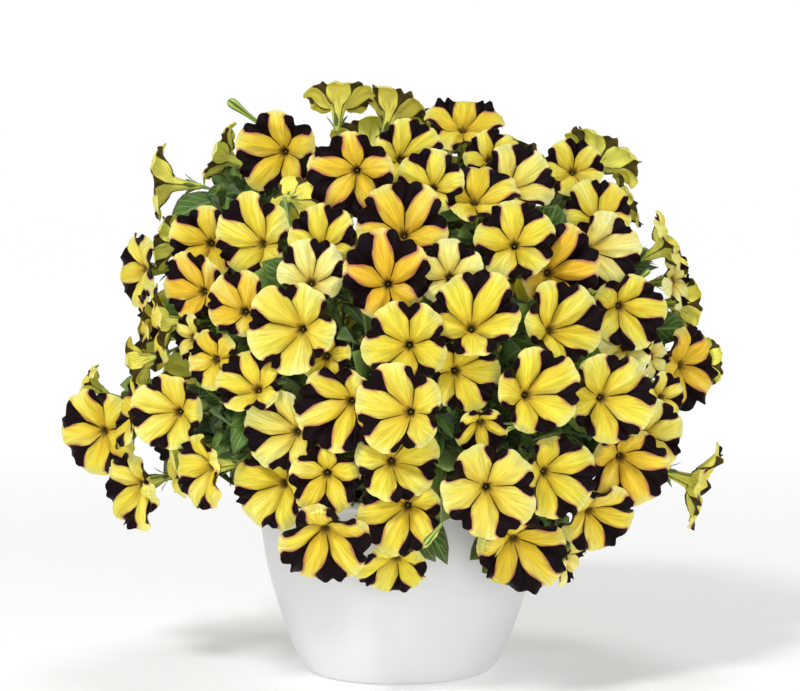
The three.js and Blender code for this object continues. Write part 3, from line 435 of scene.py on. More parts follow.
class Solid:
    """A node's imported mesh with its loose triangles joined, and its knife edges."""

    def __init__(self, node):
        mesh = node.data
        loose = np.array([v.co for v in mesh.vertices])
        _, place, back = np.unique(
            np.round(loose / WELD).astype(np.int64), axis=0, return_index=True, return_inverse=True
        )
        self.points = loose[place].astype(float)
        self.faces = back.ravel()[np.array([list(p.vertices) for p in mesh.polygons])]
        corners = self.points[self.faces]
        normals = np.cross(corners[:, 1] - corners[:, 0], corners[:, 2] - corners[:, 0])
        normals /= np.maximum(np.linalg.norm(normals, axis=1), 1e-15)[:, None]
        self.near = [set() for _ in self.points]
        sides = {}
        for at, face in enumerate(self.faces):
            for a, b in zip(face, np.roll(face, -1)):
                sides.setdefault((min(a, b), max(a, b)), []).append(at)
                self.near[a].add(int(b))
                self.near[b].add(int(a))
        self.knife = {}
        for (a, b), pair in sides.items():
            long_enough = np.linalg.norm(self.points[a] - self.points[b]) > KNIFE_LENGTH
            if len(pair) == 2 and long_enough and normals[pair[0]] @ normals[pair[1]] < KNIFE_FOLD:
                self.knife.setdefault(int(a), []).append(int(b))
                self.knife.setdefault(int(b), []).append(int(a))

    def knife_chains(self):
        """Runs of knife edges, each in order. A closed run starts anywhere."""
        seen = set()
        chains = []
        ends = sorted(p for p in self.knife if len(self.knife[p]) == 1)
        for start in ends + sorted(self.knife):
            if start in seen:
                continue
            chain = [start]
            seen.add(start)
            while True:
                following = [p for p in self.knife[chain[-1]] if p not in seen]
                if not following:
                    break
                chain.append(following[0])
                seen.add(following[0])
            closed = len(chain) > 2 and chain[0] in self.knife[chain[-1]]
            chains.append((chain, closed))
        return chains

    def around(self, group, seen):
        """The neighbours of a group of points, without the group and those seen before."""
        return {n for p in group for n in self.near[p]} - set(group) - seen

    def levels(self, group, seen, spread, most):
        """Centres of the rings that follow a ring of points along a rod, until it meets something wider."""
        centres = []
        seen = set(seen)
        ring = set(group)
        for _ in range(most):
            seen |= ring
            ring = self.around(ring, seen)
            if len(ring) < 3:
                break
            points = self.points[sorted(ring)]
            centre = points.mean(0)
            if np.linalg.norm(points - centre, axis=1).max() > spread:
                break
            centres.append(centre)
        return centres


def fit_rim(points, lobe):
    """Centre, two radii at right angles and error of a rim of lobes. The first radius points to a notch."""
    best = None
    for shift in range(len(lobe)):
        steps = np.arange(len(points)) + shift
        shares = np.array([lobe[s % len(lobe)][0] for s in steps])
        sizes = np.array([lobe[s % len(lobe)][1] for s in steps])
        angles = (steps // len(lobe) + shares) * 2 * math.pi / LOBES
        rows = np.column_stack([np.ones(len(steps)), sizes * np.cos(angles), sizes * np.sin(angles)])
        found, *_ = np.linalg.lstsq(rows, points, rcond=None)
        error = np.abs(points - rows @ found).mean()
        if best is None or error < best[-1]:
            best = (*found, error)
    return best


class Bloom:
    """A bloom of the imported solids: its frame, rim, throat and the stalk behind it."""

    def __init__(self, solid, rim):
        points = solid.points[rim]
        fits = [fit_rim(points, lobe) for lobe in (FINE_LOBE, PLAIN_LOBE)]
        centre, first, second, _ = min(fits, key=lambda fit: fit[-1])
        inner = solid.around(rim, set())
        behind = solid.points[sorted(inner)].mean(0) - centre
        self.radius = (np.linalg.norm(first) + np.linalg.norm(second)) / 2
        axis = unit(np.cross(first, second))
        if axis @ behind > 0:
            axis = -axis
        self.axis = axis
        self.centre = centre
        self.first = unit(first - axis * (axis @ first))
        self.second = np.cross(axis, self.first)
        self.lean = np.array([behind @ self.first, behind @ self.second])
        local = points - centre
        x, y = local @ self.first, local @ self.second
        angles = np.arctan2(y, x) % (2 * math.pi)
        order = np.argsort(angles)
        self.rim_angles = angles[order]
        self.rim_radii = np.hypot(x, y)[order]
        self.rim_heights = (local @ axis)[order]
        deep = solid.around(inner, set(rim))
        base = {p for p in deep if (solid.points[p] - centre) @ axis < -0.8 * self.radius}
        self.base = self.point(self.lean[0], self.lean[1], -TUBE_DEPTH * self.radius)
        self.stalk = [self.base, *solid.levels(base, set(rim) | inner | deep, *STALK_RINGS)]
        self.view = in_view(centre)

    def point(self, x, y, z):
        return self.centre + x * self.first + y * self.second + z * self.axis


class Leaf:
    """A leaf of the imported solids: foot, tip, and the way its upper side looks."""

    def __init__(self, solid, chain):
        points = solid.points[chain]
        self.foot = (points[0] + points[-1]) / 2
        middle = len(points) // 2
        self.tip = points[middle]
        self.length = np.linalg.norm(self.tip - self.foot)
        along = unit(self.tip - self.foot)
        side = points[middle - 1] - points[middle + 1]
        side = unit(side - along * (side @ along))
        up = np.cross(side, along)
        if (points.mean(0) - (self.foot + self.tip) / 2) @ up < 0:
            up, side = -up, -side
        self.turn = Matrix(np.column_stack([side, along, up])).to_quaternion()


def bezier(points, steps):
    """Points on the curve of two, three or four control points."""
    t = np.linspace(0, 1, steps)[:, None]
    level = [np.asarray(p) for p in points]
    level = [np.repeat(p[None], steps, 0) for p in level]
    while len(level) > 1:
        level = [a * (1 - t) + b * t for a, b in zip(level, level[1:])]
    return level[0]


def hermite(t, a, b, m, n):
    """The smooth way from a to b, with slope m at a and n at b."""
    start, end = 2 * t**3 - 3 * t**2 + 1, 3 * t**2 - 2 * t**3
    return start * a + (t**3 - 2 * t**2 + t) * m + end * b + (t**3 - t**2) * n


def smooth_path(points, steps):
    """A smooth curve through all the points, with equal numbers of steps between them."""
    p = np.array(points)
    slopes = np.gradient(p, axis=0)
    t = np.linspace(0, 1, steps, endpoint=False)[:, None]
    spans = [hermite(t, a, b, m, n) for a, b, m, n in zip(p, p[1:], slopes, slopes[1:])]
    return np.vstack([*spans, p[-1:]])


def stem_curve(solid, blooms):
    """A spray's stem, from its root up. Its rings lie at equal steps on a curve of three control points."""
    root = [
        i for i, p in enumerate(solid.points)
        if abs(p[2] - ROOT_LEVEL) < ROOT_FLATNESS and math.hypot(p[0], p[1]) < ROOT_REACH
    ]
    rings = solid.levels(root, set(), *STEM_RINGS)
    foot = rings[0]
    second, third = SECOND_RING, THIRD_RING
    if len(rings) > 2:
        known = np.array([rings[1] - second[0] * foot, rings[2] - third[0] * foot])
        bend, end = np.linalg.solve(np.array([second[1:], third[1:]]), known)
    else:
        inward = unit(sum(b.axis for b in blooms))
        end = sum(b.base for b in blooms) / len(blooms) - 14 * MM * inward
        bend = (rings[1] - second[0] * foot - second[2] * end) / second[1]
    return np.vstack([solid.points[root].mean(0), bezier([foot, bend, end], STEM_STEPS)])


def stalk_curve(bloom, stem):
    """A bloom's stalk, from the stem out to the bloom."""
    known = bloom.stalk
    last = known[-1]
    back = unit(known[-1] - known[-2]) if len(known) > 1 else -bloom.axis
    far = np.linalg.norm(stem - last, axis=1)
    ahead = (stem - last) @ back
    if len(known) >= 4:
        foot = stem[np.argmin(far)]
        return smooth_path([foot, *known[::-1]], 5)
    # The foot is a point of the stem that lies near, and ahead of the stalk's last known stretch.
    foot = stem[np.argmin(np.abs(far - 0.6 * ahead) + 0.4 * far)]
    reach = np.linalg.norm(foot - last)
    bends = (last + 0.35 * reach * back, foot + 0.25 * reach * unit(last - foot))
    bridge = bezier([last, *bends, foot], 4)
    return smooth_path([*bridge[::-1], *known[-2::-1]], 4)


# Meshes.
def make_piece(name, points, faces, finish, values=None):
    """A smooth shaded mesh of quads or triangles, with a value at each point for each named attribute."""
    mesh = bpy.data.meshes.new(name)
    sizes = np.array([len(f) for f in faces])
    corners = np.concatenate([np.asarray(f) for f in faces])
    mesh.vertices.add(len(points))
    mesh.vertices.foreach_set("co", np.asarray(points, np.float32).ravel())
    mesh.loops.add(len(corners))
    mesh.loops.foreach_set("vertex_index", corners.astype(np.int32))
    mesh.polygons.add(len(faces))
    starts = np.concatenate([[0], np.cumsum(sizes)[:-1]])
    mesh.polygons.foreach_set("loop_start", starts.astype(np.int32))
    mesh.materials.append(finish)
    mesh.update(calc_edges=True)
    mesh.shade_smooth()
    for key, value in (values or {}).items():
        value = np.asarray(value, np.float32)
        kind, part = ("FLOAT_VECTOR", "vector") if value.ndim > 1 else ("FLOAT", "value")
        mesh.attributes.new(key, kind, "POINT").data.foreach_set(part, value.ravel())
    made = bpy.data.objects.new(name, mesh)
    bpy.context.scene.collection.objects.link(made)
    return made


def strip(low, high, around):
    """Quads between two closed rows of points, given by their first numbers."""
    k = np.arange(around)
    n = (k + 1) % around
    return np.column_stack([low + k, low + n, high + n, high + k]).tolist()


def around_rim(angles, values, wanted):
    """A smooth closed curve through values at angles, read at the wanted angles."""
    turn = 2 * math.pi
    x = np.concatenate([angles[-2:] - turn, angles, angles[:2] + turn])
    y = np.concatenate([values[-2:], values, values[:2]])
    slopes = (y[2:] - y[:-2]) / (x[2:] - x[:-2])
    at = np.clip(np.searchsorted(x, wanted, side="right") - 1, 1, len(x) - 3)
    wide = x[at + 1] - x[at]
    t = (wanted - x[at]) / wide
    ahead = np.clip(at, 0, len(slopes) - 1)
    return hermite(t, y[at], y[at + 1], slopes[at - 1] * wide, slopes[ahead] * wide)


def per_lobe(values):
    """One value for each lobe, repeated for that lobe's points."""
    return np.repeat(values, len(LOBE_STEPS))


def hump(away, width):
    """1 at the middle, falling to nothing over a few widths."""
    return np.exp(-((away / width) ** 2))


class Limb:
    """A bloom's spread lobes: the rim that the solids give, with seeded ears, ruffles, puffs and curls."""

    def __init__(self, bloom, size, draw):
        radius = bloom.radius
        share = np.tile(LOBE_STEPS, LOBES)
        lobe = per_lobe(np.arange(LOBES))
        angle = (lobe + share) * 2 * math.pi / LOBES
        from_seam = np.minimum(share, 1 - share)
        widths = size * draw.uniform(*BLOTCH_WIDTHS, (LOBES, 2))
        blotch = np.where(share < 0.5, widths[lobe, 0], widths[(lobe + 1) % LOBES, 1])
        blotch_end = np.arcsin(np.minimum(0.024 + 0.88 * blotch, 0.55)) * LOBES / (2 * math.pi)
        ear = hump(from_seam / blotch_end - 0.5, 0.32)
        bulge = EAR_BULGE * ear - 0.026 * hump(from_seam / blotch_end - 1.06, 0.22)
        notch = NOTCH_DEPTH * hump(share - 0.5, 0.06)
        ruffle = [draw.uniform(-1, 1) * np.sin(k * angle + draw.uniform(0, ROUND)) for k in RUFFLES]
        rim_radius = around_rim(bloom.rim_angles, bloom.rim_radii, angle)
        rim_height = around_rim(bloom.rim_angles, bloom.rim_heights, angle)
        self.rim_radius = rim_radius + radius * (bulge - notch + 0.012 * ruffle[0])
        self.rim_height = rim_height + radius * 0.03 * (ruffle[1] + ruffle[2])
        self.puff = per_lobe(draw.uniform(*PUFF, LOBES))
        self.brow = per_lobe(draw.uniform(*BROW, LOBES))
        self.fold = per_lobe(draw.uniform(*FOLD, LOBES))
        self.curl = per_lobe(draw.uniform(*CURL, LOBES))
        bend = per_lobe(draw.normal(*BEND, LOBES)) * np.sin(math.pi * share)
        self.bend = bend + 0.05 * draw.uniform(-1, 1) * np.cos(2 * angle + draw.uniform(0, ROUND))
        self.pleat = np.sin(2 * math.pi * (3 * share + draw.uniform(0, 1))) * np.sin(math.pi * share)
        self.valley = -np.cos(2 * math.pi * share)
        self.share, self.angle, self.from_seam = share, angle, from_seam
        self.blotch, self.ear = blotch, ear
        self.radius = radius
        self.throat_height = -THROAT_DEPTH * radius

    def height(self, v, lip):
        """Height along the bloom's axis, at a share of the way out from the throat to the rim."""
        arch = math.sin(math.pi * max(0, (v - 0.4) / 0.6))
        shape = self.puff * self.valley * math.sin(math.pi * v**0.85)
        shape = shape - SEAM_CREASE * np.exp(-self.from_seam / 0.05) * math.sin(math.pi * v**0.8)
        shape = shape + self.brow * arch * (1 - hump(self.from_seam, 0.12))
        shape = shape - self.fold * hump(self.share - 0.5, 0.08) * v**2
        shape = shape + self.curl * self.ear * max(0, (v - 0.6) / 0.4) ** 1.5
        shape = shape + 0.012 * self.pleat * v**2 + self.bend * v**2.5
        rise = 1 - (1 - v) ** 2
        return (1 - rise) * (self.throat_height + lip) + rise * self.rim_height + self.radius * shape


def bloom_mesh(bloom, look, draw):
    """Points, faces and values of a bloom as one closed skin: tube inside, face, back and tube outside."""
    size, warmth, seed = look
    radius = bloom.radius
    limb = Limb(bloom, size, draw)
    across, up = np.cos(limb.angle), np.sin(limb.angle)
    around = len(across)
    flat = np.ones(around)
    star = 1 + 0.1 * limb.valley
    rows, away, reach, outside = [], [], [], []

    def row(x, y, z, v, side):
        rows.append(
            bloom.centre + x[:, None] * bloom.first + y[:, None] * bloom.second + z[:, None] * bloom.axis
        )
        inward = 1 - max(v, 0)
        away.append(np.hypot(x - bloom.lean[0] * inward, y - bloom.lean[1] * inward))
        reach.append(v)
        outside.append(side)

    def ring(v, inner, height, side, grow=0.0):
        x = (1 - v) * (bloom.lean[0] + inner * across) + v * (limb.rim_radius + grow) * across
        y = (1 - v) * (bloom.lean[1] + inner * up) + v * (limb.rim_radius + grow) * up
        row(x, y, height, v, side)

    def tube(depth, inner, side):
        x, y = bloom.lean[0] + inner * across, bloom.lean[1] + inner * up
        row(x, y, (limb.throat_height - depth * radius) * flat, -depth, side)

    for depth, narrow in INSIDE_TUBE[::-1]:
        tube(depth, THROAT_INSIDE * narrow * star, 0)
    for v in FACE_STEPS:
        ring(v, THROAT_INSIDE * star, limb.height(v, THROAT_LIP), 0)
    ring(1, 0 * flat, limb.height(1, 0) - 0.5 * RIM_THICKNESS, 0.5, 0.4 * RIM_THICKNESS)
    for v in BACK_STEPS:
        thick = RIM_THICKNESS + THROAT_EXTRA * (1 - v)
        ring(v, THROAT_OUTSIDE * flat, limb.height(v, -thick * 0.5) - thick, 1)
    for depth, narrow in OUTSIDE_TUBE:
        tube(depth, THROAT_OUTSIDE * narrow, 1)

    faces = []
    for at in range(len(rows) - 1):
        faces += strip(at * around, (at + 1) * around, around)
    points = np.vstack(rows)
    beyond = END_DEPTH * radius * bloom.axis
    ends = [rows[0].mean(0) - beyond, bloom.base - beyond]
    first, last = len(points), len(points) + 1
    tail = (len(rows) - 1) * around
    for k in range(around):
        n = (k + 1) % around
        faces.append([first, n, k])
        faces.append([last, tail + k, tail + n])
    points = np.vstack([points, *ends])
    gap = np.array(away) * np.sin(LOBE_TURN * limb.from_seam) / radius

    def all_rows(values, at_ends=(0, 0)):
        """The values of one row for each row, then those of the two ends."""
        return np.append(np.tile(values, len(rows)), at_ends)

    return points, faces, {
        "seam_gap": np.append(gap.ravel(), [0, 0]),
        "reach": np.append(np.repeat(reach, around), [-0.6, -0.9]),
        "outside": np.append(np.repeat(outside, around), [0, 1]),
        "blotch": all_rows(limb.blotch, (size, size)),
        "warmth": np.full(len(points), warmth),
        "fan": np.column_stack([all_rows(across), all_rows(up), np.full(len(points), seed)]),
    }


def look_of(bloom, draw):
    """Size of the blotches, warmth and a seed. Blooms that the view shows well have their own."""
    size, warmth = draw.uniform(0.24, 0.34), draw.uniform(-0.5, 0.6)
    near = [(math.hypot(bloom.view[0] - x, bloom.view[1] - y), s, w) for x, y, s, w in BLOOM_LOOKS]
    away, own_size, own_warmth = min(near)
    if away < LOOK_REACH and bloom.axis[1] < 0.2:
        size, warmth = own_size, own_warmth
    return size, warmth, draw.uniform(0, 90)


# Geometry trees.
class Shape(Tree):
    """A geometry tree with named inputs."""

    def __init__(self, name, **sizes):
        nodes = bpy.data.node_groups.new(name, "GeometryNodeTree")
        nodes.is_modifier = True
        for side in ("INPUT", "OUTPUT"):
            nodes.interface.new_socket("Geometry", in_out=side, socket_type="NodeSocketGeometry")
        for size, value in sizes.items():
            kind = "NodeSocketInt" if isinstance(value, int) else "NodeSocketFloat"
            socket = nodes.interface.new_socket(size.replace("_", " "), in_out="INPUT", socket_type=kind)
            socket.default_value = value
        super().__init__(nodes)
        self.inlet = nodes.nodes.new("NodeGroupInput")
        self.outlet = nodes.nodes.new("NodeGroupOutput")

    def size(self, name):
        return Wire(self, self.inlet.outputs[name.replace("_", " ")])

    def geometry(self):
        return Wire(self, self.inlet.outputs[0])

    def named(self, name, kind="FLOAT"):
        return self.node("GeometryNodeInputNamedAttribute", {"data_type": kind}, {"Name": name})

    def store(self, geometry, name, value):
        settings = {"data_type": "FLOAT", "domain": "POINT"}
        inputs = {"Geometry": geometry, "Name": name, "Value": value}
        return self.node("GeometryNodeStoreNamedAttribute", settings, inputs)

    def moved(self, geometry, place):
        return self.node("GeometryNodeSetPosition", {}, {"Geometry": geometry, "Position": place})

    def turned(self, geometry, **how):
        return self.node("GeometryNodeTransform", {}, {"Geometry": geometry, **how})

    def instance(self, geometry):
        return self.node("GeometryNodeGeometryToInstance", {}, {"Geometry": geometry})

    def chosen(self, operation, value, limit):
        return self.node("FunctionNodeCompare", {"operation": operation}, {"A": value, "B": limit})

    def drawn(self, low, high, seed):
        """A seeded number for each instance."""
        inputs = {2: low, 3: high, "Seed": seed}
        return self.node("FunctionNodeRandomValue", {"data_type": "FLOAT"}, inputs, 1)

    def round_about(self, parts):
        """Parts, one for each lobe, each turned on by one lobe about Z."""
        turns = [(0, 0, 2 * math.pi * k / LOBES) for k in range(LOBES)]
        return [self.turned(part, Rotation=turn) for part, turn in zip(parts, turns)]

    def joined(self, parts):
        made = self.nodes.nodes.new("GeometryNodeJoinGeometry")
        for part in parts:
            self.nodes.links.new(part.socket, made.inputs[0])
        return Wire(self, made.outputs[0])

    def finished(self, geometry, finish):
        real = self.node("GeometryNodeRealizeInstances", {}, {"Geometry": geometry})
        real = self.node("GeometryNodeSetShadeSmooth", {}, {"Geometry": real})
        return self.node("GeometryNodeSetMaterial", {}, {"Geometry": real, "Material": finish})

    def close(self, geometry):
        self.nodes.links.new(geometry.socket, self.outlet.inputs[0])

    def grow(self, name, host):
        """The tree's result on a host mesh, as a plain mesh object."""
        made = bpy.data.objects.new(name, host)
        bpy.context.scene.collection.objects.link(made)
        modifier = made.modifiers.new("shape", "NODES")
        modifier.node_group = self.nodes
        evaluated = made.evaluated_get(bpy.context.evaluated_depsgraph_get())
        mesh = bpy.data.meshes.new_from_object(evaluated)
        made.modifiers.remove(modifier)
        made.data = mesh
        mesh.name = name
        return made


def blade(tree, width, arch, droop, fold, wave, steps):
    """A closed leaf blade, 1 long, along Y from its foot at the origin, with its upper side to +Z."""
    across, long = steps
    sizes = {"Size X": 2.0, "Size Y": 1.0, "Vertices X": across, "Vertices Y": long}
    sides = []
    for lift in (1, -1):
        grid = tree.node("GeometryNodeMeshGrid", {}, sizes)
        x, y, _ = tree.parts(tree.node("GeometryNodeInputPosition"))
        way = y + 0.5
        grid = tree.store(grid, "leaf_across", x)
        grid = tree.store(grid, "leaf_along", way)
        blade_way = ((way - 0.1) / 0.9).math("MAXIMUM", 0)
        half = 0.035 + (blade_way**1.25 * math.pi).math("SINE").math("MAXIMUM", 0) ** 0.8
        side = x * half * width * 0.5
        rise = arch * 4 * way * (1 - way) - droop * way**2 + fold * width * x.math("ABSOLUTE") * half
        rise = rise + wave * (way * 17 + x * 2).math("SINE") * x**2 * half
        edge = (1 - x**2) * (way * (1 - way) * 4).math("MINIMUM", 1)
        rise = rise + lift * tree.size("Blade_Thickness") * edge
        grid = tree.moved(grid, tree.vector(side, way, rise))
        if lift < 0:
            grid = tree.node("GeometryNodeFlipFaces", {}, {"Mesh": grid})
        sides.append(grid)
    whole = tree.joined(sides)
    return tree.node("GeometryNodeMergeByDistance", {}, {"Geometry": whole, "Distance": 1e-4})


# Points across and along a blade.
FINE_LEAF = (5, 10)
PLAIN_LEAF = (3, 8)
SEPAL = (3, 7)
# Forms of leaf: width, arch, fold and wave as shares of the tree's own, and droop.
LEAF_FORMS = ((1, 1, 1, 1, 0.0), (0.82, 1.5, 1.6, 1, 0.22), (1.1, 0.5, 0.6, 1.6, -0.12))
SEPAL_LIFT = math.radians(58)
# Stalks and sepals are hairy, the thicker stems are bare.
HAIRY_BELOW = 1.2 * MM
HAIR_LENGTH = 1.4 * MM
HAIR_FOOT = 0.06 * MM
# What grows on a host's point.
LEAF_KIND, CALYX_KIND, STAMEN_KIND = 1, 2, 3


def leaf_choice(tree):
    """All forms of leaf as instances. The fine ones come first, then the plain ones."""
    sizes = [tree.size(name) for name in ("Leaf_Width", "Leaf_Arch", "Leaf_Fold", "Leaf_Wave")]
    forms = []
    for steps in (FINE_LEAF, PLAIN_LEAF):
        for *shares, droop in LEAF_FORMS:
            width, arch, fold, wave = (size * share for size, share in zip(sizes, shares))
            forms.append(blade(tree, width, arch, droop, fold, wave, steps))
    return tree.joined([tree.instance(form) for form in forms[::-1]])


def calyx_of(tree):
    """Five sepals around +Z, open like a cup."""
    sepal = blade(tree, tree.size("Sepal_Width"), 0.06, 0.0, tree.size("Leaf_Fold"), 0.0, SEPAL)
    lifted = tree.turned(sepal, Rotation=(SEPAL_LIFT, 0, 0))
    lifted = tree.turned(lifted, Translation=(0, 0.09, 0))
    return tree.instance(tree.joined(tree.round_about([lifted] * LOBES)))


def stamens_of(tree):
    """A stigma with five anthers around it, every second one lower."""
    ball = tree.node("GeometryNodeMeshIcoSphere", {}, {"Radius": 0.28, "Subdivisions": 1})
    anther = tree.turned(ball, Scale=(0.8, 1.2, 1.6))
    spread = [tree.turned(anther, Translation=(0.6, 0, -0.3 * (k % 2))) for k in range(LOBES)]
    stigma = tree.turned(anther, Scale=(1.2, 0.8, 0.8))
    return tree.instance(tree.joined([stigma, *tree.round_about(spread)]))


def hairs_on(tree, hairy):
    """Thin cones that stand on the thin parts of a mesh."""
    inputs = {
        "Mesh": hairy,
        "Selection": tree.chosen("LESS_THAN", tree.named("thickness"), HAIRY_BELOW),
        "Density": tree.size("Hair_Density"),
        "Seed": tree.size("Hair_Seed"),
    }
    roots = tree.node("GeometryNodeDistributePointsOnFaces", {}, inputs).socket.node
    hair = {"Vertices": 3, "Radius Top": 0.0, "Radius Bottom": HAIR_FOOT, "Depth": HAIR_LENGTH}
    inputs = {
        "Points": Wire(tree, roots.outputs["Points"]),
        "Instance": tree.node("GeometryNodeMeshCone", {}, hair),
        "Rotation": Wire(tree, roots.outputs["Rotation"]),
        "Scale": tree.drawn(0.5, 1.2, 9),
    }
    return tree.node("GeometryNodeInstanceOnPoints", {}, inputs)


def greenery_tree(finishes):
    """Stems along a host mesh's edges, leaves, calyxes and stamens on its points, and hairs."""
    tree = Shape(
        "greenery", Stem_Sides=10, Leaf_Width=0.5, Leaf_Arch=0.1, Leaf_Fold=0.12, Leaf_Wave=0.03,
        Blade_Thickness=0.009, Sepal_Width=0.19, Hair_Density=130000.0, Hair_Seed=3,
    )
    host = tree.geometry()
    circle = {"Resolution": tree.size("Stem_Sides"), "Radius": 1.0}
    circle = tree.node("GeometryNodeCurvePrimitiveCircle", {}, circle)
    circle = tree.store(circle, "ridge", tree.node("GeometryNodeInputIndex").math("MODULO", 2))
    inputs = {
        "Curve": tree.node("GeometryNodeMeshToCurve", {}, {"Mesh": host}),
        "Profile Curve": circle,
        "Scale": tree.named("thickness"),
        "Fill Caps": True,
    }
    stems = tree.node("GeometryNodeCurveToMesh", {}, inputs)

    def placed(instance, kind, pick, finish):
        inputs = {
            "Points": host,
            "Selection": tree.chosen("EQUAL", tree.named("kind"), float(kind)),
            "Instance": instance,
            "Pick Instance": pick,
            "Instance Index": tree.named("form", "INT"),
            "Rotation": tree.named("turn", "QUATERNION"),
            "Scale": tree.named("length"),
        }
        return tree.finished(tree.node("GeometryNodeInstanceOnPoints", {}, inputs), finish)

    leaves = placed(leaf_choice(tree), LEAF_KIND, True, finishes["leaf"])
    cups = placed(calyx_of(tree), CALYX_KIND, False, finishes["leaf"])
    stamens = placed(stamens_of(tree), STAMEN_KIND, False, finishes["anther"])
    hairs = tree.finished(hairs_on(tree, tree.joined([stems, cups])), finishes["hair"])
    tree.close(tree.joined([tree.finished(stems, finishes["stem"]), leaves, cups, stamens, hairs]))
    return tree


def crumb_tree(finish):
    """Rough crumbs scattered on a host surface."""
    tree = Shape("crumbs", Density=26000.0, Smallest=0.0012, Largest=0.0034, Seed=4)
    inputs = {"Mesh": tree.geometry(), "Density": tree.size("Density"), "Seed": tree.size("Seed")}
    points = tree.node("GeometryNodeDistributePointsOnFaces", {}, inputs)
    ball = tree.node("GeometryNodeMeshIcoSphere", {}, {"Radius": 1.0, "Subdivisions": 1})
    where = tree.node("GeometryNodeInputPosition")
    rough = tree.node("ShaderNodeTexNoise", {}, {"Vector": where, "Scale": 1.3, "Detail": 2.0})
    grown = {0: where, "Scale": 0.55 + 0.9 * rough}
    ball = tree.moved(ball, tree.node("ShaderNodeVectorMath", {"operation": "SCALE"}, grown))
    spin = {0: (0, 0, 0), 1: (ROUND, ROUND, ROUND), "Seed": 5}
    inputs = {
        "Points": points,
        "Instance": ball,
        "Rotation": tree.node("FunctionNodeRandomValue", {"data_type": "FLOAT_VECTOR"}, spin),
        "Scale": tree.drawn(tree.size("Smallest"), tree.size("Largest"), 6),
    }
    tree.close(tree.finished(tree.node("GeometryNodeInstanceOnPoints", {}, inputs), finish))
    return tree


class Host:
    """Points and edges that the greenery tree grows on, with a column for each attribute that it reads."""

    PLAIN = {
        "kind": 0, "thickness": 0.0, "length": 0.0, "tone": 0.5, "bud": 0.0,
        "form": 0, "turn": (1, 0, 0, 0),
    }
    SPECIAL = {"form": ("INT", np.int32), "turn": ("QUATERNION", np.float32)}

    def __init__(self):
        self.points, self.edges = [], []
        self.columns = {key: [] for key in self.PLAIN}

    def add(self, point, **values):
        """A point, plain where no value is given. Returns its number."""
        self.points.append(point)
        for key, column in self.columns.items():
            column.append(values.get(key, self.PLAIN[key]))
        return len(self.points) - 1

    def line(self, path, widths, bud=0.0):
        numbers = [self.add(point, thickness=width, bud=bud) for point, width in zip(path, widths)]
        self.edges += zip(numbers, numbers[1:])

    def mesh(self, name):
        mesh = bpy.data.meshes.new(name)
        mesh.from_pydata([tuple(p) for p in self.points], self.edges, [])
        for key, column in self.columns.items():
            kind, number = self.SPECIAL.get(key, ("FLOAT", np.float32))
            values = np.array([tuple(v) if key == "turn" else v for v in column], number)
            mesh.attributes.new(key, kind, "POINT").data.foreach_set("value", values.ravel())
        return mesh


def turned_to(along, up):
    """The turn that takes +Y to along and keeps +Z near up."""
    along = unit(along)
    side = unit(np.cross(along, up))
    return Matrix(np.column_stack([side, along, np.cross(side, along)])).to_quaternion()


def frame_of(axis, spin):
    """The turn that takes +Z to an axis, with a spin about it."""
    side = unit(np.cross(axis, (0.3, 0.2, 1.0) if abs(axis[2]) < 0.9 else (1.0, 0, 0)))
    other = np.cross(axis, side)
    x = side * math.cos(spin) + other * math.sin(spin)
    return Matrix(np.column_stack([x, np.cross(axis, x), axis])).to_quaternion()


# Sprays. The mound of blooms has its widest level between a top and an underside of their own roundness.
MOUND_RADIUS = 0.205
MOUND_MIDDLE = 0.19
MOUND_TOP = (0.216, 2.1)
MOUND_UNDERSIDE = (0.136, 2.6)
STALK_WIDTHS = (0.95 * MM, 0.8 * MM, 0.8 * MM, 1.5 * MM)
STALK_WAYS = (0, 0.3, 0.85, 1)
STEM_WIDTHS = (2.3 * MM, 1.4 * MM)
# A bud's outline: share of the way from its base to its tip, and radius as a share of its length.
BUD_SHAPE = (
    (0, 0.06), (0.15, 0.065), (0.35, 0.075), (0.55, 0.1),
    (0.75, 0.135), (0.88, 0.14), (0.96, 0.1), (1, 0.03),
)
BUD_STALK = 0.8 * MM
BUD_BASE = 3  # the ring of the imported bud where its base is
STAMEN_SPREAD = 1.1 * MM
EXTRA_LEAVES = 84
LEAF_TRIES = 12 * EXTRA_LEAVES
LEAF_LENGTHS = (0.016, 0.036)
BARE_STEM = 6  # points of the stem, from the root up, that carry no leaves
POT_CLEAR = 0.107
POT_CLEAR_TOP = 0.136


def dome_level(point):
    """1 on the mound of blooms, less inside it."""
    above = point[2] - MOUND_MIDDLE
    height, power = MOUND_TOP if above > 0 else MOUND_UNDERSIDE
    wide = math.hypot(point[0], point[1]) / MOUND_RADIUS
    return (wide**power + (abs(above) / height) ** power) ** (1 / power)


def read_spray(solid):
    """The blooms and leaves of a spray's solid, told apart by the number of points on their knife edges."""
    blooms, leaves = [], []
    for chain, closed in solid.knife_chains():
        steps = np.linalg.norm(np.diff(solid.points[chain], axis=0), axis=1)
        kept = [p for p, step in zip(chain, np.append(steps, 1)) if step > RIM_STEP]
        if (closed and len(chain) in RIM_COUNTS) or len(kept) in RIM_COUNTS:
            blooms.append(Bloom(solid, chain if closed else kept))
        elif not closed and len(chain) in LEAF_EDGE_COUNTS:
            leaves.append(Leaf(solid, chain))
    return blooms, leaves


def covers(points, blooms):
    """Whether any of the points lies in front of a bloom's face, or in it."""
    for bloom in blooms:
        local = (points - bloom.centre) / bloom.radius
        z = local @ bloom.axis
        away = np.hypot(local @ bloom.first, local @ bloom.second)
        if np.any((away < 0.92) & (z > -0.32 * (1 - away) - 0.1) & (z < 0.9)):
            return True
    return False


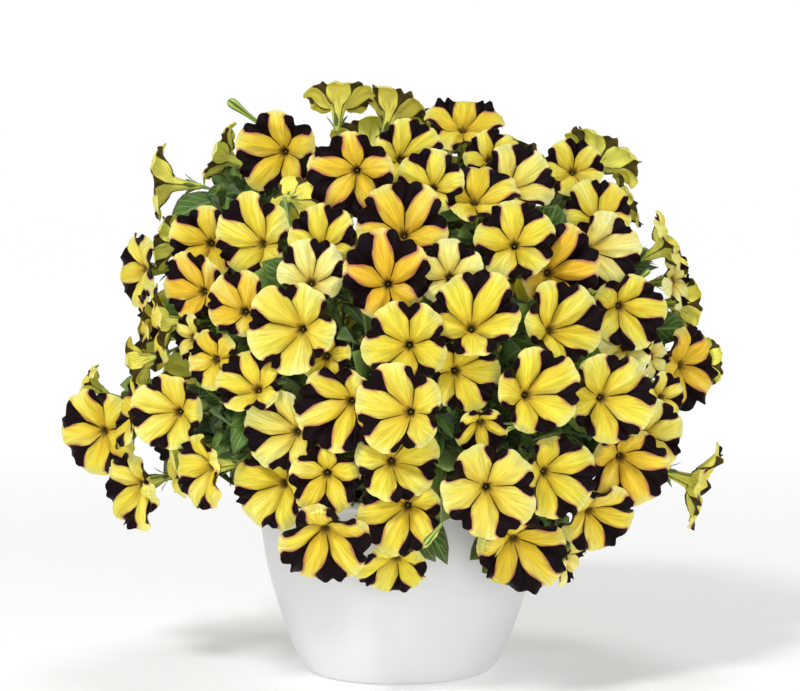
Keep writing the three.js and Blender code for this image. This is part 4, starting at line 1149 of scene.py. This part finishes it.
def leaf_room(foot, along, length, blooms):
    """Whether a leaf has room: inside the mound, off the blooms' faces, and clear of the pot."""
    points = np.array([foot + along * length * share for share in (0.3, 0.5, 0.7, 0.85, 1)])
    for point in points:
        if point[2] < POT_CLEAR_TOP and math.hypot(point[0], point[1]) < POT_CLEAR:
            return False
    return dome_level(points[-1]) < 1.0 and not covers(points, blooms)


def bud_points(solid, view):
    """A bud's rings from its tip down, if the spray has one at this place in the view."""
    tip_view, base_view = np.array(view[:2]), np.array(view[2:])
    way = (base_view - tip_view) / np.linalg.norm(base_view - tip_view)
    near = []
    for i, point in enumerate(solid.points):
        away = in_view(point) - tip_view
        if np.linalg.norm(away) < BUD_REACH and abs(away @ way) < BUD_FLATNESS:
            near.append(i)
    tip = [i for i in near if sum(n in near for n in solid.near[i]) >= 2]
    if len(tip) < 4:
        return []
    return [solid.points[tip].mean(0), *solid.levels(tip, set(), *BUD_RINGS)]


def add_bloom(host, bloom, stalk, draw):
    """A bloom's stalk, sepals and stamens."""
    host.line(stalk, np.interp(np.linspace(0, 1, len(stalk)), STALK_WAYS, STALK_WIDTHS))
    turn = frame_of(bloom.axis, draw.uniform(0, ROUND))
    foot = bloom.base - 0.5 * MM * bloom.axis
    host.add(foot, kind=CALYX_KIND, length=0.55 * bloom.radius, tone=draw.uniform(0.4, 0.8), turn=turn)
    throat = bloom.point(*bloom.lean, -(THROAT_DEPTH + 0.06) * bloom.radius)
    host.add(throat, kind=STAMEN_KIND, length=STAMEN_SPREAD, turn=turn)


def add_leaves(host, feet, every_bloom, draw):
    """Small leaves at seeded feet, wherever one has room."""
    grown = 0
    for _ in range(LEAF_TRIES):
        if grown == EXTRA_LEAVES:
            break
        foot, way = feet[draw.integers(len(feet))]
        outward = np.array([foot[0], foot[1], 0]) / (np.linalg.norm(foot[:2]) + 0.02)
        aim = unit(0.7 * draw.normal(size=3) + 0.7 * outward + 0.45 * way + np.array([0, 0, 0.2]))
        length = draw.uniform(*LEAF_LENGTHS)
        if not leaf_room(foot, aim, length, every_bloom):
            continue
        up = unit(outward + np.array([0, 0, 0.7]) + 0.4 * draw.normal(size=3))
        form = len(LEAF_FORMS) + int(draw.integers(len(LEAF_FORMS)))
        tone = draw.uniform(0, 0.8)
        host.add(foot, kind=LEAF_KIND, length=length, tone=tone, form=form, turn=turned_to(aim, up))
        grown += 1


def add_buds(host, solid, stem):
    """The buds that the view shows on this spray, and their stalks."""
    for view in BUD_VIEWS:
        found = bud_points(solid, view)
        if len(found) <= BUD_BASE:
            continue
        tip, base = found[0], found[BUD_BASE]
        size = np.linalg.norm(tip - base)
        path = [base + (tip - base) * share for share, _ in BUD_SHAPE]
        host.line(path, [radius * size for _, radius in BUD_SHAPE], bud=1.0)
        foot = stem[np.argmin(np.linalg.norm(stem - found[-1], axis=1))]
        stalk = smooth_path([*found[BUD_BASE:], foot], 4)
        host.line(stalk, np.full(len(stalk), BUD_STALK))


def grow_spray(name, solid, grown, every_bloom, petal, greenery):
    """A spray's petals as one piece, and its greenery as another. It has the seed of its number."""
    draw = np.random.default_rng(int(name[-2:]))
    blooms, leaves = grown
    stem = stem_curve(solid, blooms)
    host = Host()
    host.line(stem, np.interp(np.arange(len(stem)), (0, len(stem) - 1), STEM_WIDTHS))
    tops = [*stem[1:], stem[-1]]
    feet = [(stem[k], unit(tops[k] - stem[k - 1])) for k in range(BARE_STEM, len(stem))]
    points, faces, columns, count = [], [], {}, 0
    for bloom in blooms:
        made, sides, values = bloom_mesh(bloom, look_of(bloom, draw), draw)
        points.append(made)
        faces += [[corner + count for corner in face] for face in sides]
        count += len(made)
        for key, value in values.items():
            columns.setdefault(key, []).append(value)
        stalk = stalk_curve(bloom, stem)
        add_bloom(host, bloom, stalk, draw)
        feet += [(stalk[k], unit(stalk[k + 1] - stalk[k - 1])) for k in range(2, len(stalk) - 3, 2)]
    for leaf in leaves:
        form = int(draw.integers(len(LEAF_FORMS)))
        tone = draw.uniform(0.2, 0.9)
        host.add(leaf.foot, kind=LEAF_KIND, length=leaf.length, tone=tone, form=form, turn=leaf.turn)
    add_leaves(host, feet, every_bloom, draw)
    add_buds(host, solid, stem)
    columns = {key: np.concatenate(value) for key, value in columns.items()}
    petals = make_piece(f"{name}_blooms", np.vstack(points), faces, petal, columns)
    return petals, greenery.grow(f"{name}_leaves", host.mesh(f"{name}_host"))


# Pot and soil.
# The pot's outline, radius and height in millimetres: its underside, wall, rim, inside and floor.
POT_OUTLINE = (
    (0.0, 0.0), (58.5, 0.0), (61.0, 0.25), (64.2, 0.9), (66.8, 2.4), (69.3, 5.0), (71.8, 8.2), (75.4, 15),
    (79.5, 24.1), (84.2, 37), (88.5, 50), (92.4, 63), (95.7, 76), (98.2, 90), (99.9, 104), (100.8, 116),
    (101.2, 126.5), (101.9, 127.6), (103.2, 128.0), (103.8, 128.6), (104.0, 129.6), (104.0, 132.2),
    (103.7, 133.3), (102.9, 133.9), (101.9, 134.0), (101.2, 133.8), (100.6, 133.2), (100.4, 132.2),
    (98.7, 127), (97.3, 104), (93.1, 76), (86.0, 50), (77.2, 24.5), (70.2, 9.0), (66.5, 4.6), (62.0, 3.1),
    (55.0, 3.0), (0.0, 3.0),
)
POT_AROUND = 144
DRAIN_HOLES = 4
DRAIN_RADIUS = 4 * MM
DRAIN_CIRCLE = 42 * MM
DRAIN_SIDES = 24
DRAIN_DEPTH = 12 * MM
DRAIN_MIDDLE = 1.5 * MM
# Outline of the soil's side, radius and height in millimetres, then its edge and its top.
SOIL_SIDE = ((0.0, 3.5), (66.0, 5.0), (76.6, 25.0), (85.4, 50.0), (92.4, 76.0), (96.6, 104.0))
SOIL_EDGE = 97.6
SOIL_RIM = 116.0
SOIL_HIGH = 118.6
SOIL_RINGS = (0.985, 0.94, 0.88, 0.8, 0.7, 0.6, 0.5, 0.4, 0.3, 0.2, 0.1)
SOIL_AROUND = 96
CRUMB_EDGE = 95 * MM
HEAPS = 1.6 * MM


def turned_mesh(name, outline, around, finish):
    """A closed body turned about the upright axis, from the middle of its underside to that of its top."""
    angles = np.arange(around) * 2 * math.pi / around
    points = [np.array([[0, 0, outline[0][1] * MM], [0, 0, outline[-1][1] * MM]])]
    inner = outline[1:-1]
    for radius, height in inner:
        x, y = np.cos(angles) * radius * MM, np.sin(angles) * radius * MM
        points.append(np.column_stack([x, y, np.full(around, height * MM)]))
    faces = []
    for at in range(len(inner) - 1):
        faces += strip(2 + at * around, 2 + (at + 1) * around, around)
    last = 2 + (len(inner) - 1) * around
    for k in range(around):
        n = (k + 1) % around
        faces.append([0, 2 + n, 2 + k])
        faces.append([1, last + k, last + n])
    return make_piece(name, np.vstack(points), faces, finish)


def make_pot(finish):
    """The pot's shell with its drain holes cut."""
    pot = turned_mesh("pot_shell", POT_OUTLINE, POT_AROUND, finish)
    drills = []
    for k in range(DRAIN_HOLES):
        angle = 2 * math.pi * k / DRAIN_HOLES
        place = (DRAIN_CIRCLE * math.cos(angle), DRAIN_CIRCLE * math.sin(angle), DRAIN_MIDDLE)
        bpy.ops.mesh.primitive_cylinder_add(
            vertices=DRAIN_SIDES, radius=DRAIN_RADIUS, depth=DRAIN_DEPTH, location=place
        )
        drills.append(bpy.context.object)
        cut = pot.modifiers.new("drain", "BOOLEAN")
        cut.operation = "DIFFERENCE"
        cut.solver = "MANIFOLD"
        cut.object = drills[-1]
    mesh = bpy.data.meshes.new_from_object(pot.evaluated_get(bpy.context.evaluated_depsgraph_get()))
    pot.modifiers.clear()
    pot.data = mesh
    for drill in drills:
        bpy.data.objects.remove(drill)
    return pot


def ripple(x, y):
    """Low uneven heaps of the soil's top, -1 to 1."""
    broad = math.sin(71 * x + 1.3) * math.cos(63 * y - 0.4)
    return 0.5 * broad + 0.3 * math.sin(190 * x - 140 * y) + 0.2 * math.cos(330 * y + 250 * x)


def make_soil(finish, crumbs):
    """The soil's body, and crumbs that lie on its heaped top."""
    rings = [(SOIL_EDGE * share, SOIL_HIGH) for share in SOIL_RINGS]
    outline = [*SOIL_SIDE, (SOIL_EDGE, SOIL_RIM), *rings, (0.0, SOIL_HIGH)]
    soil = turned_mesh("soil_body", outline, SOIL_AROUND, finish)
    top_level = SOIL_RIM * MM
    for vertex in soil.data.vertices:
        if vertex.co.z > top_level + MM:
            vertex.co.z += HEAPS * ripple(vertex.co.x, vertex.co.y)
    above = [v for v in soil.data.vertices if v.co.z > top_level]
    inside = {v.index for v in above if v.co.xy.length < CRUMB_EDGE}
    keep = [list(p.vertices) for p in soil.data.polygons if inside.issuperset(p.vertices)]
    top = bpy.data.meshes.new("soil_top")
    top.from_pydata([v.co for v in soil.data.vertices], [], keep)
    return soil, crumbs.grow("soil_crumbs", top)


# Making the plant.
finishes = {
    "petal": petal_finish(), "leaf": leaf_finish(), "stem": stem_finish(), "anther": anther_finish(),
    "hair": hair_finish(), "pot": pot_finish(), "soil": soil_finish(),
}
greenery = greenery_tree(finishes)
solids = {name: Solid(node) for name, node in sorted(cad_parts.items()) if name.startswith("spray")}
read = {name: read_spray(solid) for name, solid in solids.items()}
every_bloom = [bloom for blooms, _ in read.values() for bloom in blooms]
for name, solid in solids.items():
    for piece in grow_spray(name, solid, read[name], every_bloom, finishes["petal"], greenery):
        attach(piece, "root")
        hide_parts(name)

pot = make_pot(finishes["pot"])
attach(pot, "root")
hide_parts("pot")
soil, crumbs = make_soil(finishes["soil"], crumb_tree(finishes["soil"]))
for piece in (soil, crumbs):
    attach(piece, "root")
    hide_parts("soil")

# Floor, light and camera.
FLOOR_RADIUS = 4.4
FLOOR_BEND = 0.6
WALL_TOP = 1.9
FLOOR_AROUND = 64
FLOOR_RINGS = (0.1, 0.4, 0.7, 1)
BEND_STEPS = 8
FLOOR_DROP = 0.5 * MM  # the floor lies this far under the pot
GLOW_FROM = 0.2
GLOW_FULL = 1.7
# Lamps: name, place, the point that it looks at, size in metres and power in watts.
LAMPS = (
    ("key", (-1.1, -2.4, 2.5), (0, 0, 0.25), 0.6, 58),
    ("fill", (0.5, -2.9, 0.35), (0, 0, 0.3), 1.4, 26),
    ("top", (0.3, 0.3, 2.9), (0, 0, 0.25), 1.2, 18),
)
ROOM_LIGHT = 0.18


def paper_finish():
    """White paper that is lit from behind away from the plant, so that it stays pale to its edge."""
    f = Finish("paper", Roughness=0.9, Specular_IOR_Level=0.1, Emission_Strength=1.0)
    x, y, _ = f.parts(f.place())
    glow = (x * x + y * y).math("SQRT").rise(GLOW_FROM, GLOW_FULL)
    grain = f.noise(f.place(), 60)
    near = f.mix(grain, colour(246, 246, 246), colour(243, 243, 243))
    return f.show(
        Base_Color=f.mix(glow, near, grey(0.05)),
        Emission_Color=f.mix(glow, grey(0.27), grey(0.96)),
    )


def make_floor(finish):
    """A round floor that bends up into a low wall."""
    outline = [(FLOOR_RADIUS * share, 0.0) for share in FLOOR_RINGS]
    for k in range(1, BEND_STEPS + 1):
        angle = math.pi / 2 * k / BEND_STEPS
        outline.append((FLOOR_RADIUS + FLOOR_BEND * math.sin(angle), FLOOR_BEND * (1 - math.cos(angle))))
    outline.append((FLOOR_RADIUS + FLOOR_BEND, WALL_TOP))
    angles = np.arange(FLOOR_AROUND) * 2 * math.pi / FLOOR_AROUND
    points = [[0, 0, -FLOOR_DROP]]
    for radius, height in outline:
        points += [[radius * math.cos(a), radius * math.sin(a), height - FLOOR_DROP] for a in angles]
    faces = [[0, 1 + k, 1 + (k + 1) % FLOOR_AROUND] for k in range(FLOOR_AROUND)]
    for at in range(len(outline) - 1):
        faces += strip(1 + (at + 1) * FLOOR_AROUND, 1 + at * FLOOR_AROUND, FLOOR_AROUND)
    return make_piece("floor", points, faces, finish)


make_floor(paper_finish())


def lamp(name, place, aim, size, power):
    light = bpy.data.lights.new(name, "AREA")
    light.shape = "DISK"
    light.size = size
    light.energy = power
    made = bpy.data.objects.new(name, light)
    bpy.context.scene.collection.objects.link(made)
    made.location = place
    made.rotation_euler = (Vector(aim) - Vector(place)).to_track_quat("-Z", "Y").to_euler()


for values in LAMPS:
    lamp(*values)
world = bpy.data.worlds.new("studio")
world.use_nodes = True
background = world.node_tree.nodes["Background"]
background.inputs["Color"].default_value = grey(1)
background.inputs["Strength"].default_value = ROOM_LIGHT
bpy.context.scene.world = world
bpy.context.scene.view_settings.view_transform = "Standard"

lens = bpy.data.cameras.new("camera")
lens.lens = VIEW_LENS
lens.sensor_width = SENSOR
camera = bpy.data.objects.new("camera", lens)
bpy.context.scene.collection.objects.link(camera)
camera.location = EYE
camera.rotation_euler = (math.pi / 2 - VIEW_PITCH, 0, 0)
bpy.context.scene.camera = camera
